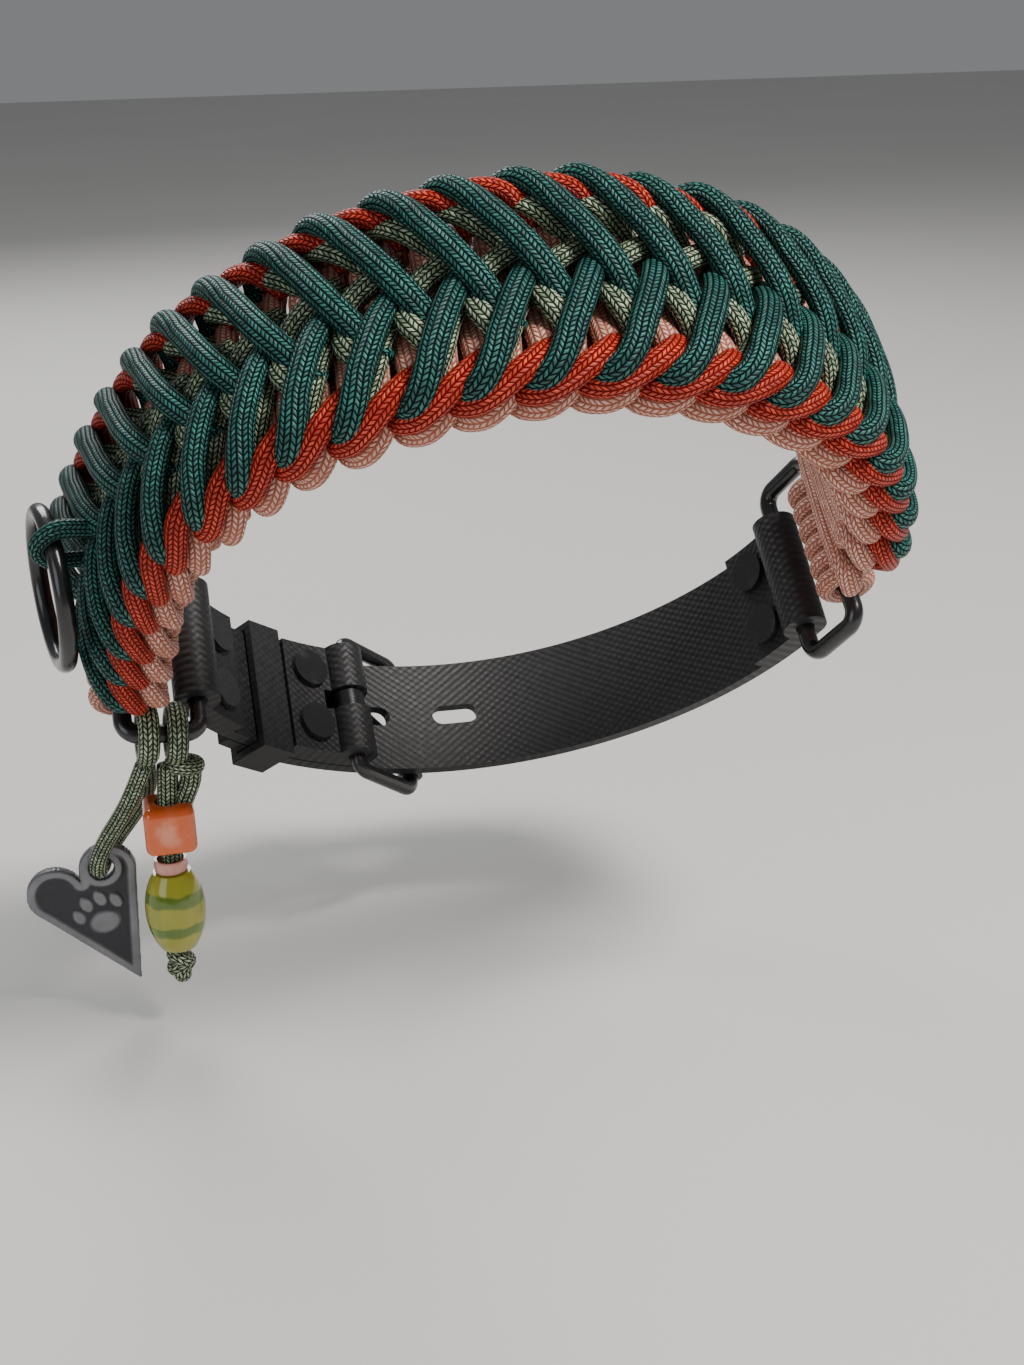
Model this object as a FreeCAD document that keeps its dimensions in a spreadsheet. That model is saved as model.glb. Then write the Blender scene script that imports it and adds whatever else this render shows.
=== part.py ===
"""Woven cord collar with a buckled strap, a leash ring and a charm lanyard.

Row frame: origin at the centre of the neck opening, +X to the wearer's side, +Z up.
The collar is a ring that leans forward about X. It is built upright, in the XZ plane
with its axis along Y, and every piece of the ring then takes the lean as its Placement.
Angles round the ring start at the top and grow towards +X. "front" is the -Y edge.
"""
import FreeCAD, Part
import math
import os
from FreeCAD import Placement, Rotation, Vector

DOC = FreeCAD.newDocument("Collar")
SHEET = DOC.addObject("Spreadsheet::Sheet", "Sizes")
X_AXIS = Vector(1, 0, 0)
Y_AXIS = Vector(0, 1, 0)
Z_AXIS = Vector(0, 0, 1)
NODES = []

SIZES = (
    ("lean_angle", 40, "forward lean of the ring, degrees"),
    ("neck_radius", 58.5, "inner face of the woven band"),
    ("cord_dia", 4, "braided cord"),
    ("stitch_pitch", 9.15, "one repeat of the weave, along the seam line"),
    ("stitch_count", 24, "repeats in the woven band"),
    ("stitches_right", 11.06, "repeats to the right of the top"),
    ("band_width", 32.7, "between the two seam lines"),
    ("edge_bulge", 2.2, "centre of the edge scallops outside the seam line"),
    ("mat_inner_gap", 4.6, "seam line to the inner face"),
    ("mat_layer", 3, "thickness of one woven layer of the mat"),
    ("core_layer", 2.2, "thickness of the core cords"),
    ("layer_gap", 0.2, "air between layers"),
    ("lacing_layer", 2.6, "thickness of the sage and red lacing"),
    ("flare_angle", 12, "outward twist of the left end, degrees"),
    ("arc_end_angle", 83, "left end runs straight beyond this angle, degrees"),
    ("loop_wire", 3.5, "end loops"),
    ("loop_inside", 34.5, "end loops, inside width"),
    ("loop_length", 14, "end loops, between the two long bars"),
    ("loop_corner", 3, "end loops, corner radius"),
    ("loop_seat", 4.5, "height of the loop above the seam line"),
    ("fit_gap", 0.3, "clearance between moving pieces"),
    ("strap_width", 25, "coated webbing strap"),
    ("strap_thick", 2.5, "coated webbing strap"),
    ("strap_rise", 10.5, "inner face of the band to the middle of the strap with the holes"),
    ("fold_length", 16, "doubled strap end beyond a bar"),
    ("rivet_dia", 4, "strap rivets"),
    ("rivet_head", 8, "strap rivets"),
    ("head_thick", 1.2, "strap rivets"),
    ("heel_angle", 204, "heel bar of the buckle, degrees round the ring"),
    ("buckle_wire", 3.2, "buckle frame"),
    ("buckle_length", 17, "heel bar to roller bar"),
    ("buckle_inside", 27, "buckle frame, inside width"),
    ("roller_dia", 5.4, "buckle roller"),
    ("roller_length", 24, "buckle roller"),
    ("tongue_wire", 2.8, "buckle tongue"),
    ("hole_width", 4.4, "strap holes"),
    ("hole_length", 10, "strap holes"),
    ("hole_pitch", 20, "strap holes, centre to centre"),
    ("hole_count", 3, "strap holes"),
    ("tip_angle", 230, "free end of the strap, degrees round the ring"),
    ("keeper_angle", 222, "keeper, degrees round the ring"),
    ("keeper_width", 8, "keeper"),
    ("keeper_wall", 1.6, "keeper"),
    ("ring_dia", 30, "leash ring, outside"),
    ("ring_wire", 3.2, "leash ring"),
    ("ring_stitch", 3.2, "leash ring's top, stitches from the left end"),
    ("holder_dia", 3, "cord that holds the leash ring"),
    ("cube_side", 9.5, "orange bead"),
    ("bead_slack", 0.8, "bore of the beads over the cord"),
    ("glass_dia", 11.5, "glass bead"),
    ("glass_length", 16, "glass bead"),
    ("spacer_dia", 6.4, "pink spacer bead"),
    ("spacer_height", 2.4, "pink spacer bead"),
    ("knot_dia", 6.6, "stopper knot"),
    ("heart_width", 22, "heart tag"),
    ("heart_height", 30, "heart tag"),
    ("heart_thick", 2.2, "heart tag"),
    ("heart_tilt", 22, "heart tag, turn to the right, degrees"),
    ("tag_hole", 4.4, "hole in the heart tag"),
    ("tag_loop_dia", 3.2, "cord where it passes through the tag"),
)


def fill_sheet():
    for row, (alias, value, note) in enumerate(SIZES, start=1):
        SHEET.set(f"A{row}", alias)
        SHEET.set(f"B{row}", str(value))
        SHEET.set(f"C{row}", note)
        SHEET.setAlias(f"B{row}", alias)
    DOC.recompute()


fill_sheet()


def size(alias):
    return float(SHEET.get(alias))


# ---------------------------------------------------------------- the band's path

SEAM_RADIUS = size("neck_radius") + size("mat_inner_gap")
STRAP_RADIUS = size("neck_radius") + size("strap_rise")
HOLED_MIDDLE = "(Sizes.neck_radius + Sizes.strap_rise)"
PITCH = size("stitch_pitch")
HALF_WIDTH = size("band_width") / 2
RIGHT_END = size("stitches_right") * PITCH
LEFT_END = RIGHT_END - size("stitch_count") * PITCH
ARC_LEFT = -SEAM_RADIUS * math.radians(size("arc_end_angle"))
FLARE_START = 0.75 * ARC_LEFT

MAT_LOW = -size("mat_inner_gap")
CORE_LOW = MAT_LOW + size("mat_layer") + size("layer_gap")
MAT_HIGH = CORE_LOW + size("core_layer") + size("layer_gap")
LACING_LOW = MAT_HIGH + size("mat_layer") + size("layer_gap")
STRAND_HEIGHT = LACING_LOW + size("lacing_layer") + size("layer_gap") + size("cord_dia") / 2

LEAN = Placement(Vector(), Rotation(X_AXIS, size("lean_angle")))
# Turns an axis-along-Z primitive so that its axis runs along the ring's axis.
ACROSS = Rotation(X_AXIS, -90)


def on_ring(angle, radius, across=0.0):
    """A point of the upright ring, from its angle in degrees."""
    turn = math.radians(angle)
    return Vector(radius * math.sin(turn), across, radius * math.cos(turn))


def seam_point(run):
    """Point, tangent and outward normal of the seam line at a run from the top."""
    arc_run = max(run, ARC_LEFT)
    angle = arc_run / SEAM_RADIUS
    outward = Vector(math.sin(angle), 0, math.cos(angle))
    tangent = Vector(math.cos(angle), 0, -math.sin(angle))
    return outward * SEAM_RADIUS + tangent * (run - arc_run), tangent, outward


def band_frame(run):
    """Front seam point, tangent, across and outward directions, with the flare."""
    point, tangent, outward = seam_point(run)
    share = min(max((FLARE_START - run) / (FLARE_START - LEFT_END), 0), 1)
    flare = math.radians(size("flare_angle")) * share * share * (3 - 2 * share)
    across = Y_AXIS * math.cos(flare) + outward * math.sin(flare)
    normal = outward * math.cos(flare) - Y_AXIS * math.sin(flare)
    return point - Y_AXIS * HALF_WIDTH, tangent, across, normal


def band_point(run, across, height):
    """A point of the band: across from its middle line, height above the seam."""
    seam, _, side, normal = band_frame(run)
    return seam + side * (across + HALF_WIDTH) + normal * height


def stitch_run(stitch):
    """Run of a stitch counted from the left end of the band."""
    return LEFT_END + stitch * PITCH


# ---------------------------------------------------------------- helpers

def show(name, vector):
    """Prints a hinge point or an axis in the row frame."""
    print(name, [round(value, 4) for value in vector])


def keep(item, label, placement=LEAN):
    item.Label = label
    item.Placement = placement
    NODES.append(item)
    return item


def feature(label, solids, placement=LEAN):
    """A soft or laid piece, given as one solid or a group of separate ones."""
    item = DOC.addObject("Part::Feature", label)
    item.Shape = solids[0] if len(solids) == 1 else Part.makeCompound(solids)
    return keep(item, label, placement)


def primitive(kind, label, placement, **cells):
    item = DOC.addObject(kind, label)
    for name, expression in cells.items():
        item.setExpression(name, expression)
    item.Placement = placement
    return item


def cut(label, base, tool):
    item = DOC.addObject("Part::Cut", label)
    item.Base = base
    item.Tool = tool
    return item


def fuse(label, pieces):
    item = DOC.addObject("Part::MultiFuse", label)
    item.Shapes = pieces
    return item


def across_at(point, width):
    """Placement of a bar of this width, centred on a point, along the ring's axis."""
    return Placement(point - Y_AXIS * (width / 2), ACROSS)


def capsule(start, end, radius):
    """A short strand: a straight tube with round ends."""
    length = (end - start).Length
    top = length + radius
    bend = radius * math.sqrt(0.5)
    edges = [
        Part.Arc(Vector(0, 0, -radius), Vector(bend, 0, -bend), Vector(radius, 0, 0)).toShape(),
        Part.LineSegment(Vector(radius, 0, 0), Vector(radius, 0, length)).toShape(),
        Part.Arc(Vector(radius, 0, length), Vector(bend, 0, length + bend), Vector(0, 0, top)).toShape(),
        Part.LineSegment(Vector(0, 0, top), Vector(0, 0, -radius)).toShape(),
    ]
    solid = Part.Face(Part.Wire(edges)).revolve(Vector(), Z_AXIS, 360)
    solid.Placement = Placement(start, Rotation(Z_AXIS, end - start))
    return solid


def band_slab(label, low, high, side_a, side_b):
    """A layer of the band, lofted through one section for each stitch."""
    sections = []
    for stitch in range(int(size("stitch_count")) + 1):
        run = stitch_run(stitch)
        corners = [band_point(run, side_a, low), band_point(run, side_b, low),
                   band_point(run, side_b, high), band_point(run, side_a, high)]
        sections.append(Part.makePolygon(corners + corners[:1]))
    return feature(label, [Part.makeLoft(sections, True, True)])


def strands(label, start, end, first, last):
    """A row of like strands, one for each stitch; start and end are stitch, across, height."""
    radius = size("cord_dia") / 2
    solids = []
    for stitch in range(first, last):
        ends = [band_point(stitch_run(stitch + step), side, height) for step, side, height in (start, end)]
        solids.append(capsule(ends[0], ends[1], radius))
    return feature(label, solids)


# ---------------------------------------------------------------- the woven band

def woven_band():
    """Pink mat round the core cords, its edge scallops, and three colours of lacing."""
    mat = size("mat_layer")
    edge = HALF_WIDTH - 1.5
    gap = size("layer_gap")
    band_slab("pink_mat_inner", MAT_LOW, MAT_LOW + mat, -edge, edge)
    band_slab("core_cords", CORE_LOW, CORE_LOW + size("core_layer"), 2.5 - edge, edge - 2.5)
    band_slab("pink_mat_outer", MAT_HIGH, MAT_HIGH + mat, -edge, edge)
    red_edge = 9.5
    top = LACING_LOW + size("lacing_layer")
    band_slab("sage_lacing", LACING_LOW, top, gap - red_edge, red_edge - gap)
    band_slab("red_lacing_front", LACING_LOW, top, -edge, -red_edge)
    band_slab("red_lacing_back", LACING_LOW, top, red_edge, edge)


def edge_scallops():
    """One bulge of pink cord for each stitch, along both edges of the mat."""
    count = int(size("stitch_count"))
    side = HALF_WIDTH + size("edge_bulge") - size("cord_dia") / 2 + 1
    for label, sign in (("pink_scallops_front", -1), ("pink_scallops_back", 1)):
        strands(label, (0.28, sign * side, 0), (0.72, sign * side, 0), 0, count)


def green_lacing():
    """Dark green chevrons: one strand from each edge for each stitch."""
    count = int(size("stitch_count"))
    edge = HALF_WIDTH - size("cord_dia") / 2
    middle = size("cord_dia") + 0.6
    strands("green_lacing_front", (0.05, -edge, STRAND_HEIGHT), (0.85, -middle, STRAND_HEIGHT), 0, count)
    strands("green_lacing_back", (0.1, edge, STRAND_HEIGHT), (0.75, middle, STRAND_HEIGHT), 0, count)


# ---------------------------------------------------------------- end loops

WRAP_RADIUS = size("loop_wire") / 2 + size("fit_gap") / 2 + size("cord_dia") / 2
EYE_BORE = size("loop_wire") / 2 + size("fit_gap") / 2
EYE_RADIUS = EYE_BORE + size("strap_thick")
HOLED_BAR_RADIUS = STRAP_RADIUS - EYE_BORE - size("strap_thick") / 2
BUCKLED_RADIUS = STRAP_RADIUS - size("strap_thick") - size("fit_gap")
BUCKLED_BAR_RADIUS = BUCKLED_RADIUS - EYE_BORE - size("strap_thick") / 2


def band_bar(side):
    """Centre of the loop bar that the band's cords wrap, -1 for the left end."""
    end = LEFT_END if side < 0 else RIGHT_END
    run = end + side * (WRAP_RADIUS + size("cord_dia") / 2 + size("layer_gap"))
    point, _, outward = seam_point(run)
    return point + outward * size("loop_seat")


def strap_bar_angle(side, radius):
    """Angle round the ring at which a strap bar of this radius meets the loop's length."""
    bar = band_bar(side)
    far = math.hypot(bar.x, bar.z)
    share = (far ** 2 + radius ** 2 - size("loop_length") ** 2) / (2 * far * radius)
    return math.degrees(math.atan2(bar.x, bar.z)) + side * math.degrees(math.acos(share))


LEFT_BAR_ANGLE = 360 + strap_bar_angle(-1, BUCKLED_BAR_RADIUS)
RIGHT_BAR_ANGLE = strap_bar_angle(1, HOLED_BAR_RADIUS)


def loop_frame(side):
    """Band bar centre, strap bar centre and the unit direction from one to the other."""
    start = band_bar(side)
    if side < 0:
        end = on_ring(LEFT_BAR_ANGLE, BUCKLED_BAR_RADIUS)
    else:
        end = on_ring(RIGHT_BAR_ANGLE, HOLED_BAR_RADIUS)
    return start, end, (end - start).normalize()


def rounded_loop(corner, along, width, length, radius):
    """A closed wire: a rectangle of centre lines with round corners, from its near bar."""
    half = width / 2
    side = radius * (1 - math.sqrt(0.5))
    spots = [(0, radius - half), (0, half - radius), (side, half - side), (radius, half),
             (length - radius, half), (length - side, half - side), (length, half - radius),
             (length, radius - half), (length - side, side - half), (length - radius, -half),
             (radius, -half), (side, side - half)]
    points = [corner + along * far + Y_AXIS * wide for far, wide in spots]
    edges = [Part.LineSegment(points[0], points[1])]
    for first in (1, 4, 7, 10):
        edges.append(Part.Arc(points[first], points[first + 1], points[(first + 2) % 12]))
        if first != 10:
            edges.append(Part.LineSegment(points[first + 2], points[first + 3]))
    edges[-1] = Part.Arc(points[10], points[11], points[0])
    return Part.Wire([edge.toShape() for edge in edges])


def bent_wire(path, start, direction, diameter):
    """A round wire swept along a closed or open path."""
    ring = Part.Wire(Part.Circle(start, direction, diameter / 2).toShape())
    return path.makePipeShell([ring], True, True)


def end_loops():
    """Black wire loops between the woven band and the straps."""
    width = size("loop_inside") + size("loop_wire")
    for label, side in (("end_loop_left", -1), ("end_loop_right", 1)):
        start, _, along = loop_frame(side)
        path = rounded_loop(start, along, width, size("loop_length"), size("loop_corner"))
        seed = start + Y_AXIS * (size("loop_corner") - width / 2)
        feature(label, [bent_wire(path, seed, Y_AXIS, size("loop_wire"))])


def end_wraps():
    """Cord ends that wrap the band bar of each loop, side by side."""
    step = size("cord_dia") + size("layer_gap")
    count = int((size("strap_width") - size("cord_dia")) // step) + 1
    for label, side in (("end_wraps_left", -1), ("end_wraps_right", 1)):
        start, _, _ = loop_frame(side)
        turns = []
        for number in range(count):
            place = start + Y_AXIS * (step * (number - (count - 1) / 2))
            turns.append(Part.makeTorus(WRAP_RADIUS, size("cord_dia") / 2, place, Y_AXIS))
        feature(label, turns)


# ---------------------------------------------------------------- straps and rivets

def sector(label, middle, first, last):
    """A strap layer: part of a tube round the ring's axis, between two angles."""
    turned = Placement(Y_AXIS * (-size("strap_width") / 2), Rotation(Y_AXIS, first - 90) * ACROSS)
    inner = Placement(turned.Base - Y_AXIS, turned.Rotation)
    outer_rod = primitive("Part::Cylinder", label + "_outer", turned, Radius=f"{middle} + Sizes.strap_thick / 2",
                          Height="Sizes.strap_width", Angle=str(last - first))
    inner_rod = primitive("Part::Cylinder", label + "_inner", inner, Radius=f"{middle} - Sizes.strap_thick / 2",
                          Height="Sizes.strap_width + 2")
    return cut(label, outer_rod, inner_rod)


def fold_angle(radius):
    return math.degrees(size("fold_length") / radius)


def eye_piece(label, centre, bore="Sizes.loop_wire"):
    """The round fold of a strap about a bar."""
    return primitive("Part::Cylinder", label, across_at(centre, size("strap_width")),
                     Radius=f"{bore} / 2 + Sizes.fit_gap / 2 + Sizes.strap_thick", Height="Sizes.strap_width")


def eye_bore(label, centre, bore="Sizes.loop_wire"):
    return primitive("Part::Cylinder", label, across_at(centre, size("strap_width") + 2),
                     Radius=f"{bore} / 2 + Sizes.fit_gap / 2", Height="Sizes.strap_width + 2")


def rivet_sites(angle):
    """Two rivets side by side at one angle round the ring."""
    shift = size("strap_width") / 4
    return [(angle, -shift), (angle, shift)]


def radial(angle, radius, across):
    """Placement of an axis-along-Z primitive that points outwards from the ring."""
    return Placement(on_ring(angle, radius, across), Rotation(Y_AXIS, angle))


def rivet_holes(label, angle, middle):
    holes = []
    for number, (turn, across) in enumerate(rivet_sites(angle), start=1):
        place = radial(turn, middle - 3 * size("strap_thick"), across)
        holes.append(primitive("Part::Cylinder", f"{label}_{number}", place, Radius="Sizes.rivet_dia / 2 + 0.05",
                               Height="Sizes.strap_thick * 5"))
    return holes


def rivets(label, angle, middle, proud=True):
    """A pair of rivets through a doubled strap; the outer end is a head or is flush."""
    stack = 2 * size("strap_thick")
    low = middle - 1.5 * size("strap_thick")
    shank = size("rivet_dia") / 2
    head = size("rivet_head") / 2
    thick = size("head_thick")
    solids = []
    for turn, across in rivet_sites(angle):
        place = radial(turn, low, across)
        body = Part.makeCylinder(shank, stack + HEAD_SEAT, Vector(0, 0, -HEAD_SEAT))
        heads = [Part.makeCylinder(head, thick, Vector(0, 0, -HEAD_SEAT - thick))]
        if proud:
            heads.append(Part.makeCylinder(head, thick, Vector(0, 0, stack)))
        solid = body.fuse(heads).removeSplitter()
        solid.Placement = place
        solids.append(solid)
    return feature(label, solids)


# A flat head stands this far off the hollow face of a curved strap.
HEAD_SEAT = 0.2
HEEL_BORE = (size("buckle_wire") + size("fit_gap")) / 2
HEEL_RADIUS = BUCKLED_RADIUS - HEEL_BORE - size("strap_thick") / 2
SITE = size("fold_length") * 0.62


def buckled_strap():
    """The short strap: left loop to the heel bar of the buckle, folded at both ends."""
    outer = f"({HOLED_MIDDLE} - Sizes.strap_thick - Sizes.fit_gap)"
    inner = f"({HOLED_MIDDLE} - 2 * Sizes.strap_thick - Sizes.fit_gap)"
    turn = fold_angle(BUCKLED_RADIUS)
    heel = size("heel_angle")
    left_eye = on_ring(LEFT_BAR_ANGLE, BUCKLED_BAR_RADIUS)
    heel_eye = on_ring(heel, HEEL_RADIUS)
    pieces = [sector("buckled_layer", outer, heel, LEFT_BAR_ANGLE),
              sector("buckled_fold_left", inner, LEFT_BAR_ANGLE - turn, LEFT_BAR_ANGLE),
              sector("buckled_fold_heel", inner, heel, heel + turn),
              eye_piece("left_eye", left_eye), eye_piece("heel_eye", heel_eye, "Sizes.buckle_wire")]
    site = math.degrees(SITE / BUCKLED_RADIUS)
    slot = Placement(on_ring(heel, HEEL_RADIUS - 6, -size("hole_width") / 2), Rotation(Y_AXIS, heel))
    slot.Base = slot.Base - slot.Rotation.multVec(X_AXIS) * 6
    tools = [eye_bore("left_bore", left_eye), eye_bore("heel_bore", heel_eye, "Sizes.buckle_wire"),
             primitive("Part::Box", "tongue_slot", slot, Length="12", Width="Sizes.hole_width", Height="14")]
    tools += rivet_holes("left_hole", LEFT_BAR_ANGLE - site, BUCKLED_RADIUS)
    tools += rivet_holes("heel_hole", heel + site, BUCKLED_RADIUS)
    keep(cut("buckled_strap", fuse("buckled_solid", pieces), fuse("buckled_tools", tools)), "buckled_strap")
    rivets("left_rivets", LEFT_BAR_ANGLE - site, BUCKLED_RADIUS)
    rivets("buckle_rivets", heel + site, BUCKLED_RADIUS, proud=False)


def oval_hole(label, angle):
    """One long hole through the strap, made of a box with two round ends."""
    radius = STRAP_RADIUS - size("strap_thick")
    half = (size("hole_length") - size("hole_width")) / 2
    base = Placement(on_ring(angle, radius, 0), Rotation(Y_AXIS, angle))
    along = base.Rotation.multVec(X_AXIS)
    corner = Placement(base.Base - along * half - Y_AXIS * (size("hole_width") / 2), base.Rotation)
    box = primitive("Part::Box", label + "_middle", corner, Length="Sizes.hole_length - Sizes.hole_width",
                    Width="Sizes.hole_width", Height="Sizes.strap_thick * 2")
    ends = []
    for name, sign in (("_low", -1), ("_high", 1)):
        place = Placement(base.Base + along * (half * sign), base.Rotation)
        ends.append(primitive("Part::Cylinder", label + name, place, Radius="Sizes.hole_width / 2",
                              Height="Sizes.strap_thick * 2"))
    return fuse(label, [box] + ends)


def tongue_hole_angle():
    """The hole that the tongue goes through, from where the tongue crosses the strap."""
    rise = (STRAP_RADIUS - HEEL_RADIUS) / (ROLLER_RADIUS + tongue_rest() - HEEL_RADIUS)
    return size("heel_angle") - math.degrees(size("buckle_length") * rise / STRAP_RADIUS)


def holed_strap():
    """The long strap: right loop, through the buckle and under the keeper, with oval holes."""
    inner = f"({HOLED_MIDDLE} - Sizes.strap_thick)"
    turn = fold_angle(STRAP_RADIUS)
    eye = on_ring(RIGHT_BAR_ANGLE, HOLED_BAR_RADIUS)
    pieces = [sector("holed_layer", HOLED_MIDDLE, RIGHT_BAR_ANGLE, size("tip_angle")),
              sector("holed_fold", inner, RIGHT_BAR_ANGLE, RIGHT_BAR_ANGLE + turn),
              eye_piece("right_eye", eye)]
    site = RIGHT_BAR_ANGLE + math.degrees(SITE / STRAP_RADIUS)
    tools = [eye_bore("right_bore", eye)] + rivet_holes("right_hole", site, STRAP_RADIUS)
    step = math.degrees(size("hole_pitch") / STRAP_RADIUS)
    for number in range(int(size("hole_count"))):
        tools.append(oval_hole(f"strap_hole_{number + 1}", tongue_hole_angle() - step * (number - 1)))
    keep(cut("holed_strap", fuse("holed_solid", pieces), fuse("holed_tools", tools)), "holed_strap")
    rivets("right_rivets", site, STRAP_RADIUS)


# ---------------------------------------------------------------- buckle and keeper

ROLLER_RADIUS = STRAP_RADIUS + size("strap_thick") / 2 + size("fit_gap") + size("roller_dia") / 2
TONGUE_SIDE_GAP = 0.4
TONGUE_EYE_WALL = 1.6
TONGUE_PAST_ROLLER = 3.0


def tongue_rest():
    return size("roller_dia") / 2 + size("fit_gap") + size("tongue_wire") / 2


def buckle_frame_axes():
    """Heel bar centre, roller bar centre and the direction between them."""
    heel = on_ring(size("heel_angle"), HEEL_RADIUS)
    reach = math.degrees(math.asin(size("buckle_length") / ROLLER_RADIUS))
    roller = on_ring(size("heel_angle") - reach, ROLLER_RADIUS)
    return heel, roller, (roller - heel).normalize()


def buckle():
    """Frame, roller and tongue of the buckle."""
    heel, roller, along = buckle_frame_axes()
    length = (roller - heel).Length
    width = size("buckle_inside") + size("buckle_wire")
    path = rounded_loop(heel, along, width, length, size("loop_corner"))
    seed = heel + Y_AXIS * (size("loop_corner") - width / 2)
    feature("buckle_frame", [bent_wire(path, seed, Y_AXIS, size("buckle_wire"))])
    place = across_at(roller, size("roller_length"))
    tube = primitive("Part::Cylinder", "roller_tube", place, Radius="Sizes.roller_dia / 2",
                     Height="Sizes.roller_length")
    bore = primitive("Part::Cylinder", "roller_bore", place, Radius="Sizes.buckle_wire / 2 + 0.1",
                     Height="Sizes.roller_length")
    keep(cut("buckle_roller", tube, bore), "buckle_roller")
    outward = along.cross(Y_AXIS)
    if outward.dot(roller) < 0:
        outward = outward * -1
    share = 1 + TONGUE_PAST_ROLLER / length
    tip = roller + outward * (tongue_rest() * share) + along * TONGUE_PAST_ROLLER
    wide = size("hole_width") - 2 * TONGUE_SIDE_GAP
    eye = Part.makeCylinder(HEEL_BORE + TONGUE_EYE_WALL, wide, heel - Y_AXIS * (wide / 2), Y_AXIS)
    shaft = Part.makeCylinder(size("tongue_wire") / 2, (tip - heel).Length, heel, tip - heel)
    bore = Part.makeCylinder(HEEL_BORE, 2 * wide, heel - Y_AXIS * wide, Y_AXIS)
    feature("buckle_tongue", [eye.fuse(shaft).cut(bore)])


def keeper():
    """A sliding band that holds the strap's free end down on the short strap."""
    gap = size("fit_gap")
    low = BUCKLED_RADIUS - size("strap_thick") / 2 - gap - 0.4
    high = STRAP_RADIUS + size("strap_thick") / 2 + gap + 0.2
    wide = size("strap_width") + 2 * gap
    wall = size("keeper_wall")
    turn = Rotation(Y_AXIS, size("keeper_angle"))
    along = turn.multVec(X_AXIS) * (size("keeper_width") / 2)

    def corner(radius, half):
        return Placement(on_ring(size("keeper_angle"), radius, -half) - along, turn)

    outer = primitive("Part::Box", "keeper_outer", corner(low - wall, wide / 2 + wall), Length="Sizes.keeper_width",
                      Width="Sizes.strap_width + 2 * Sizes.fit_gap + 2 * Sizes.keeper_wall",
                      Height=f"{high - low} + 2 * Sizes.keeper_wall")
    inner = primitive("Part::Box", "keeper_inner", corner(low, wide / 2), Length="Sizes.keeper_width",
                      Width="Sizes.strap_width + 2 * Sizes.fit_gap", Height=str(high - low))
    keep(cut("strap_keeper", outer, inner), "strap_keeper")


# ---------------------------------------------------------------- leash ring

def leash_ring():
    """The ring lies against the lacing and hangs from a short loop of cord."""
    run = stitch_run(size("ring_stitch"))
    middle = (size("ring_dia") - size("ring_wire")) / 2
    _, tangent, across, normal = band_frame(run - middle)
    # The band twists under the ring, so the ring stands off by this much at its middle.
    twist_room = 2.5
    height = STRAND_HEIGHT + size("cord_dia") / 2 + size("fit_gap") + size("ring_wire") / 2 + twist_room
    top = band_point(run, 0, height)
    centre = top - tangent * middle
    turn = Rotation(Z_AXIS, normal)
    ring = primitive("Part::Torus", "leash_ring", Placement(), Radius1="(Sizes.ring_dia - Sizes.ring_wire) / 2",
                     Radius2="Sizes.ring_wire / 2")
    keep(ring, "leash_ring", LEAN * Placement(centre, turn))
    bend = (size("ring_wire") + size("holder_dia")) / 2 + size("fit_gap")
    foot = top - normal * (height - LACING_LOW - size("lacing_layer") - 2.5 * size("layer_gap"))
    path = Part.Wire([
        Part.LineSegment(foot - tangent * bend, top - tangent * bend).toShape(),
        Part.Arc(top - tangent * bend, top + normal * bend, top + tangent * bend).toShape(),
        Part.LineSegment(top + tangent * bend, foot + tangent * bend).toShape(),
    ])
    feature("ring_holder", [bent_wire(path, foot - tangent * bend, normal, size("holder_dia"))])
    show("leash ring hinge", LEAN.multVec(top))
    show("leash ring axis", LEAN.Rotation.multVec(across))
    show("leash ring centre", LEAN.multVec(centre))
    show("leash ring normal", LEAN.Rotation.multVec(normal))


# ---------------------------------------------------------------- hanging charms

CORD = size("cord_dia")
SPREAD = CORD / 4
BEAD_BORE = (CORD + size("bead_slack")) / 2


def side_bar_point(offset):
    """A point of the left loop's front side bar, at a distance from the band bar."""
    start, _, along = loop_frame(-1)
    half = (size("loop_inside") + size("loop_wire")) / 2
    return LEAN.multVec(start + along * offset - Y_AXIS * half), LEAN.Rotation.multVec(along)


TAG_BAR, BAR_AXIS = side_bar_point(4.2)
LANYARD_BAR, _ = side_bar_point(9.4)


def cord_tube(label, points, diameter):
    """A cord laid along straight runs joined by tangent arcs; returns its radii."""
    edges = []
    radii = []
    here = points[0]
    for before, corner, after in zip(points, points[1:], points[2:]):
        come = (corner - before)
        leave = (after - corner)
        reach = 0.45 * min(come.Length, leave.Length)
        turn = come.getAngle(leave)
        radii.append(reach / math.tan(turn / 2))
        first = corner - come.normalize() * reach
        last = corner + leave.normalize() * reach
        mid_way = (leave - come).normalize() * (radii[-1] / math.cos(turn / 2) - radii[-1])
        edges.append(Part.LineSegment(here, first).toShape())
        edges.append(Part.Arc(first, corner + mid_way, last).toShape())
        here = last
    edges.append(Part.LineSegment(here, points[-1]).toShape())
    path = Part.Wire(edges)
    tube = bent_wire(path, points[0], points[1] - points[0], diameter)
    wanted = path.Length * math.pi * diameter ** 2 / 4
    print(f"{label}: length {path.Length:.1f}, radii {[round(value, 1) for value in radii]}, "
          f"volume ratio {tube.Volume / wanted:.4f}")
    feature(label, [tube], Placement())
    return path.Length


def offsets(origin, rows):
    """Points at these offsets from the origin, spread sideways with the cord's diameter."""
    return [origin + Vector(x * SPREAD, y * SPREAD, z) for x, y, z in rows]


ORANGE_DROP = 18.2
GLASS_DROP = 36
BEAD_SHIFT = -2.8
GLASS_SHIFT = -3.4


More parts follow.
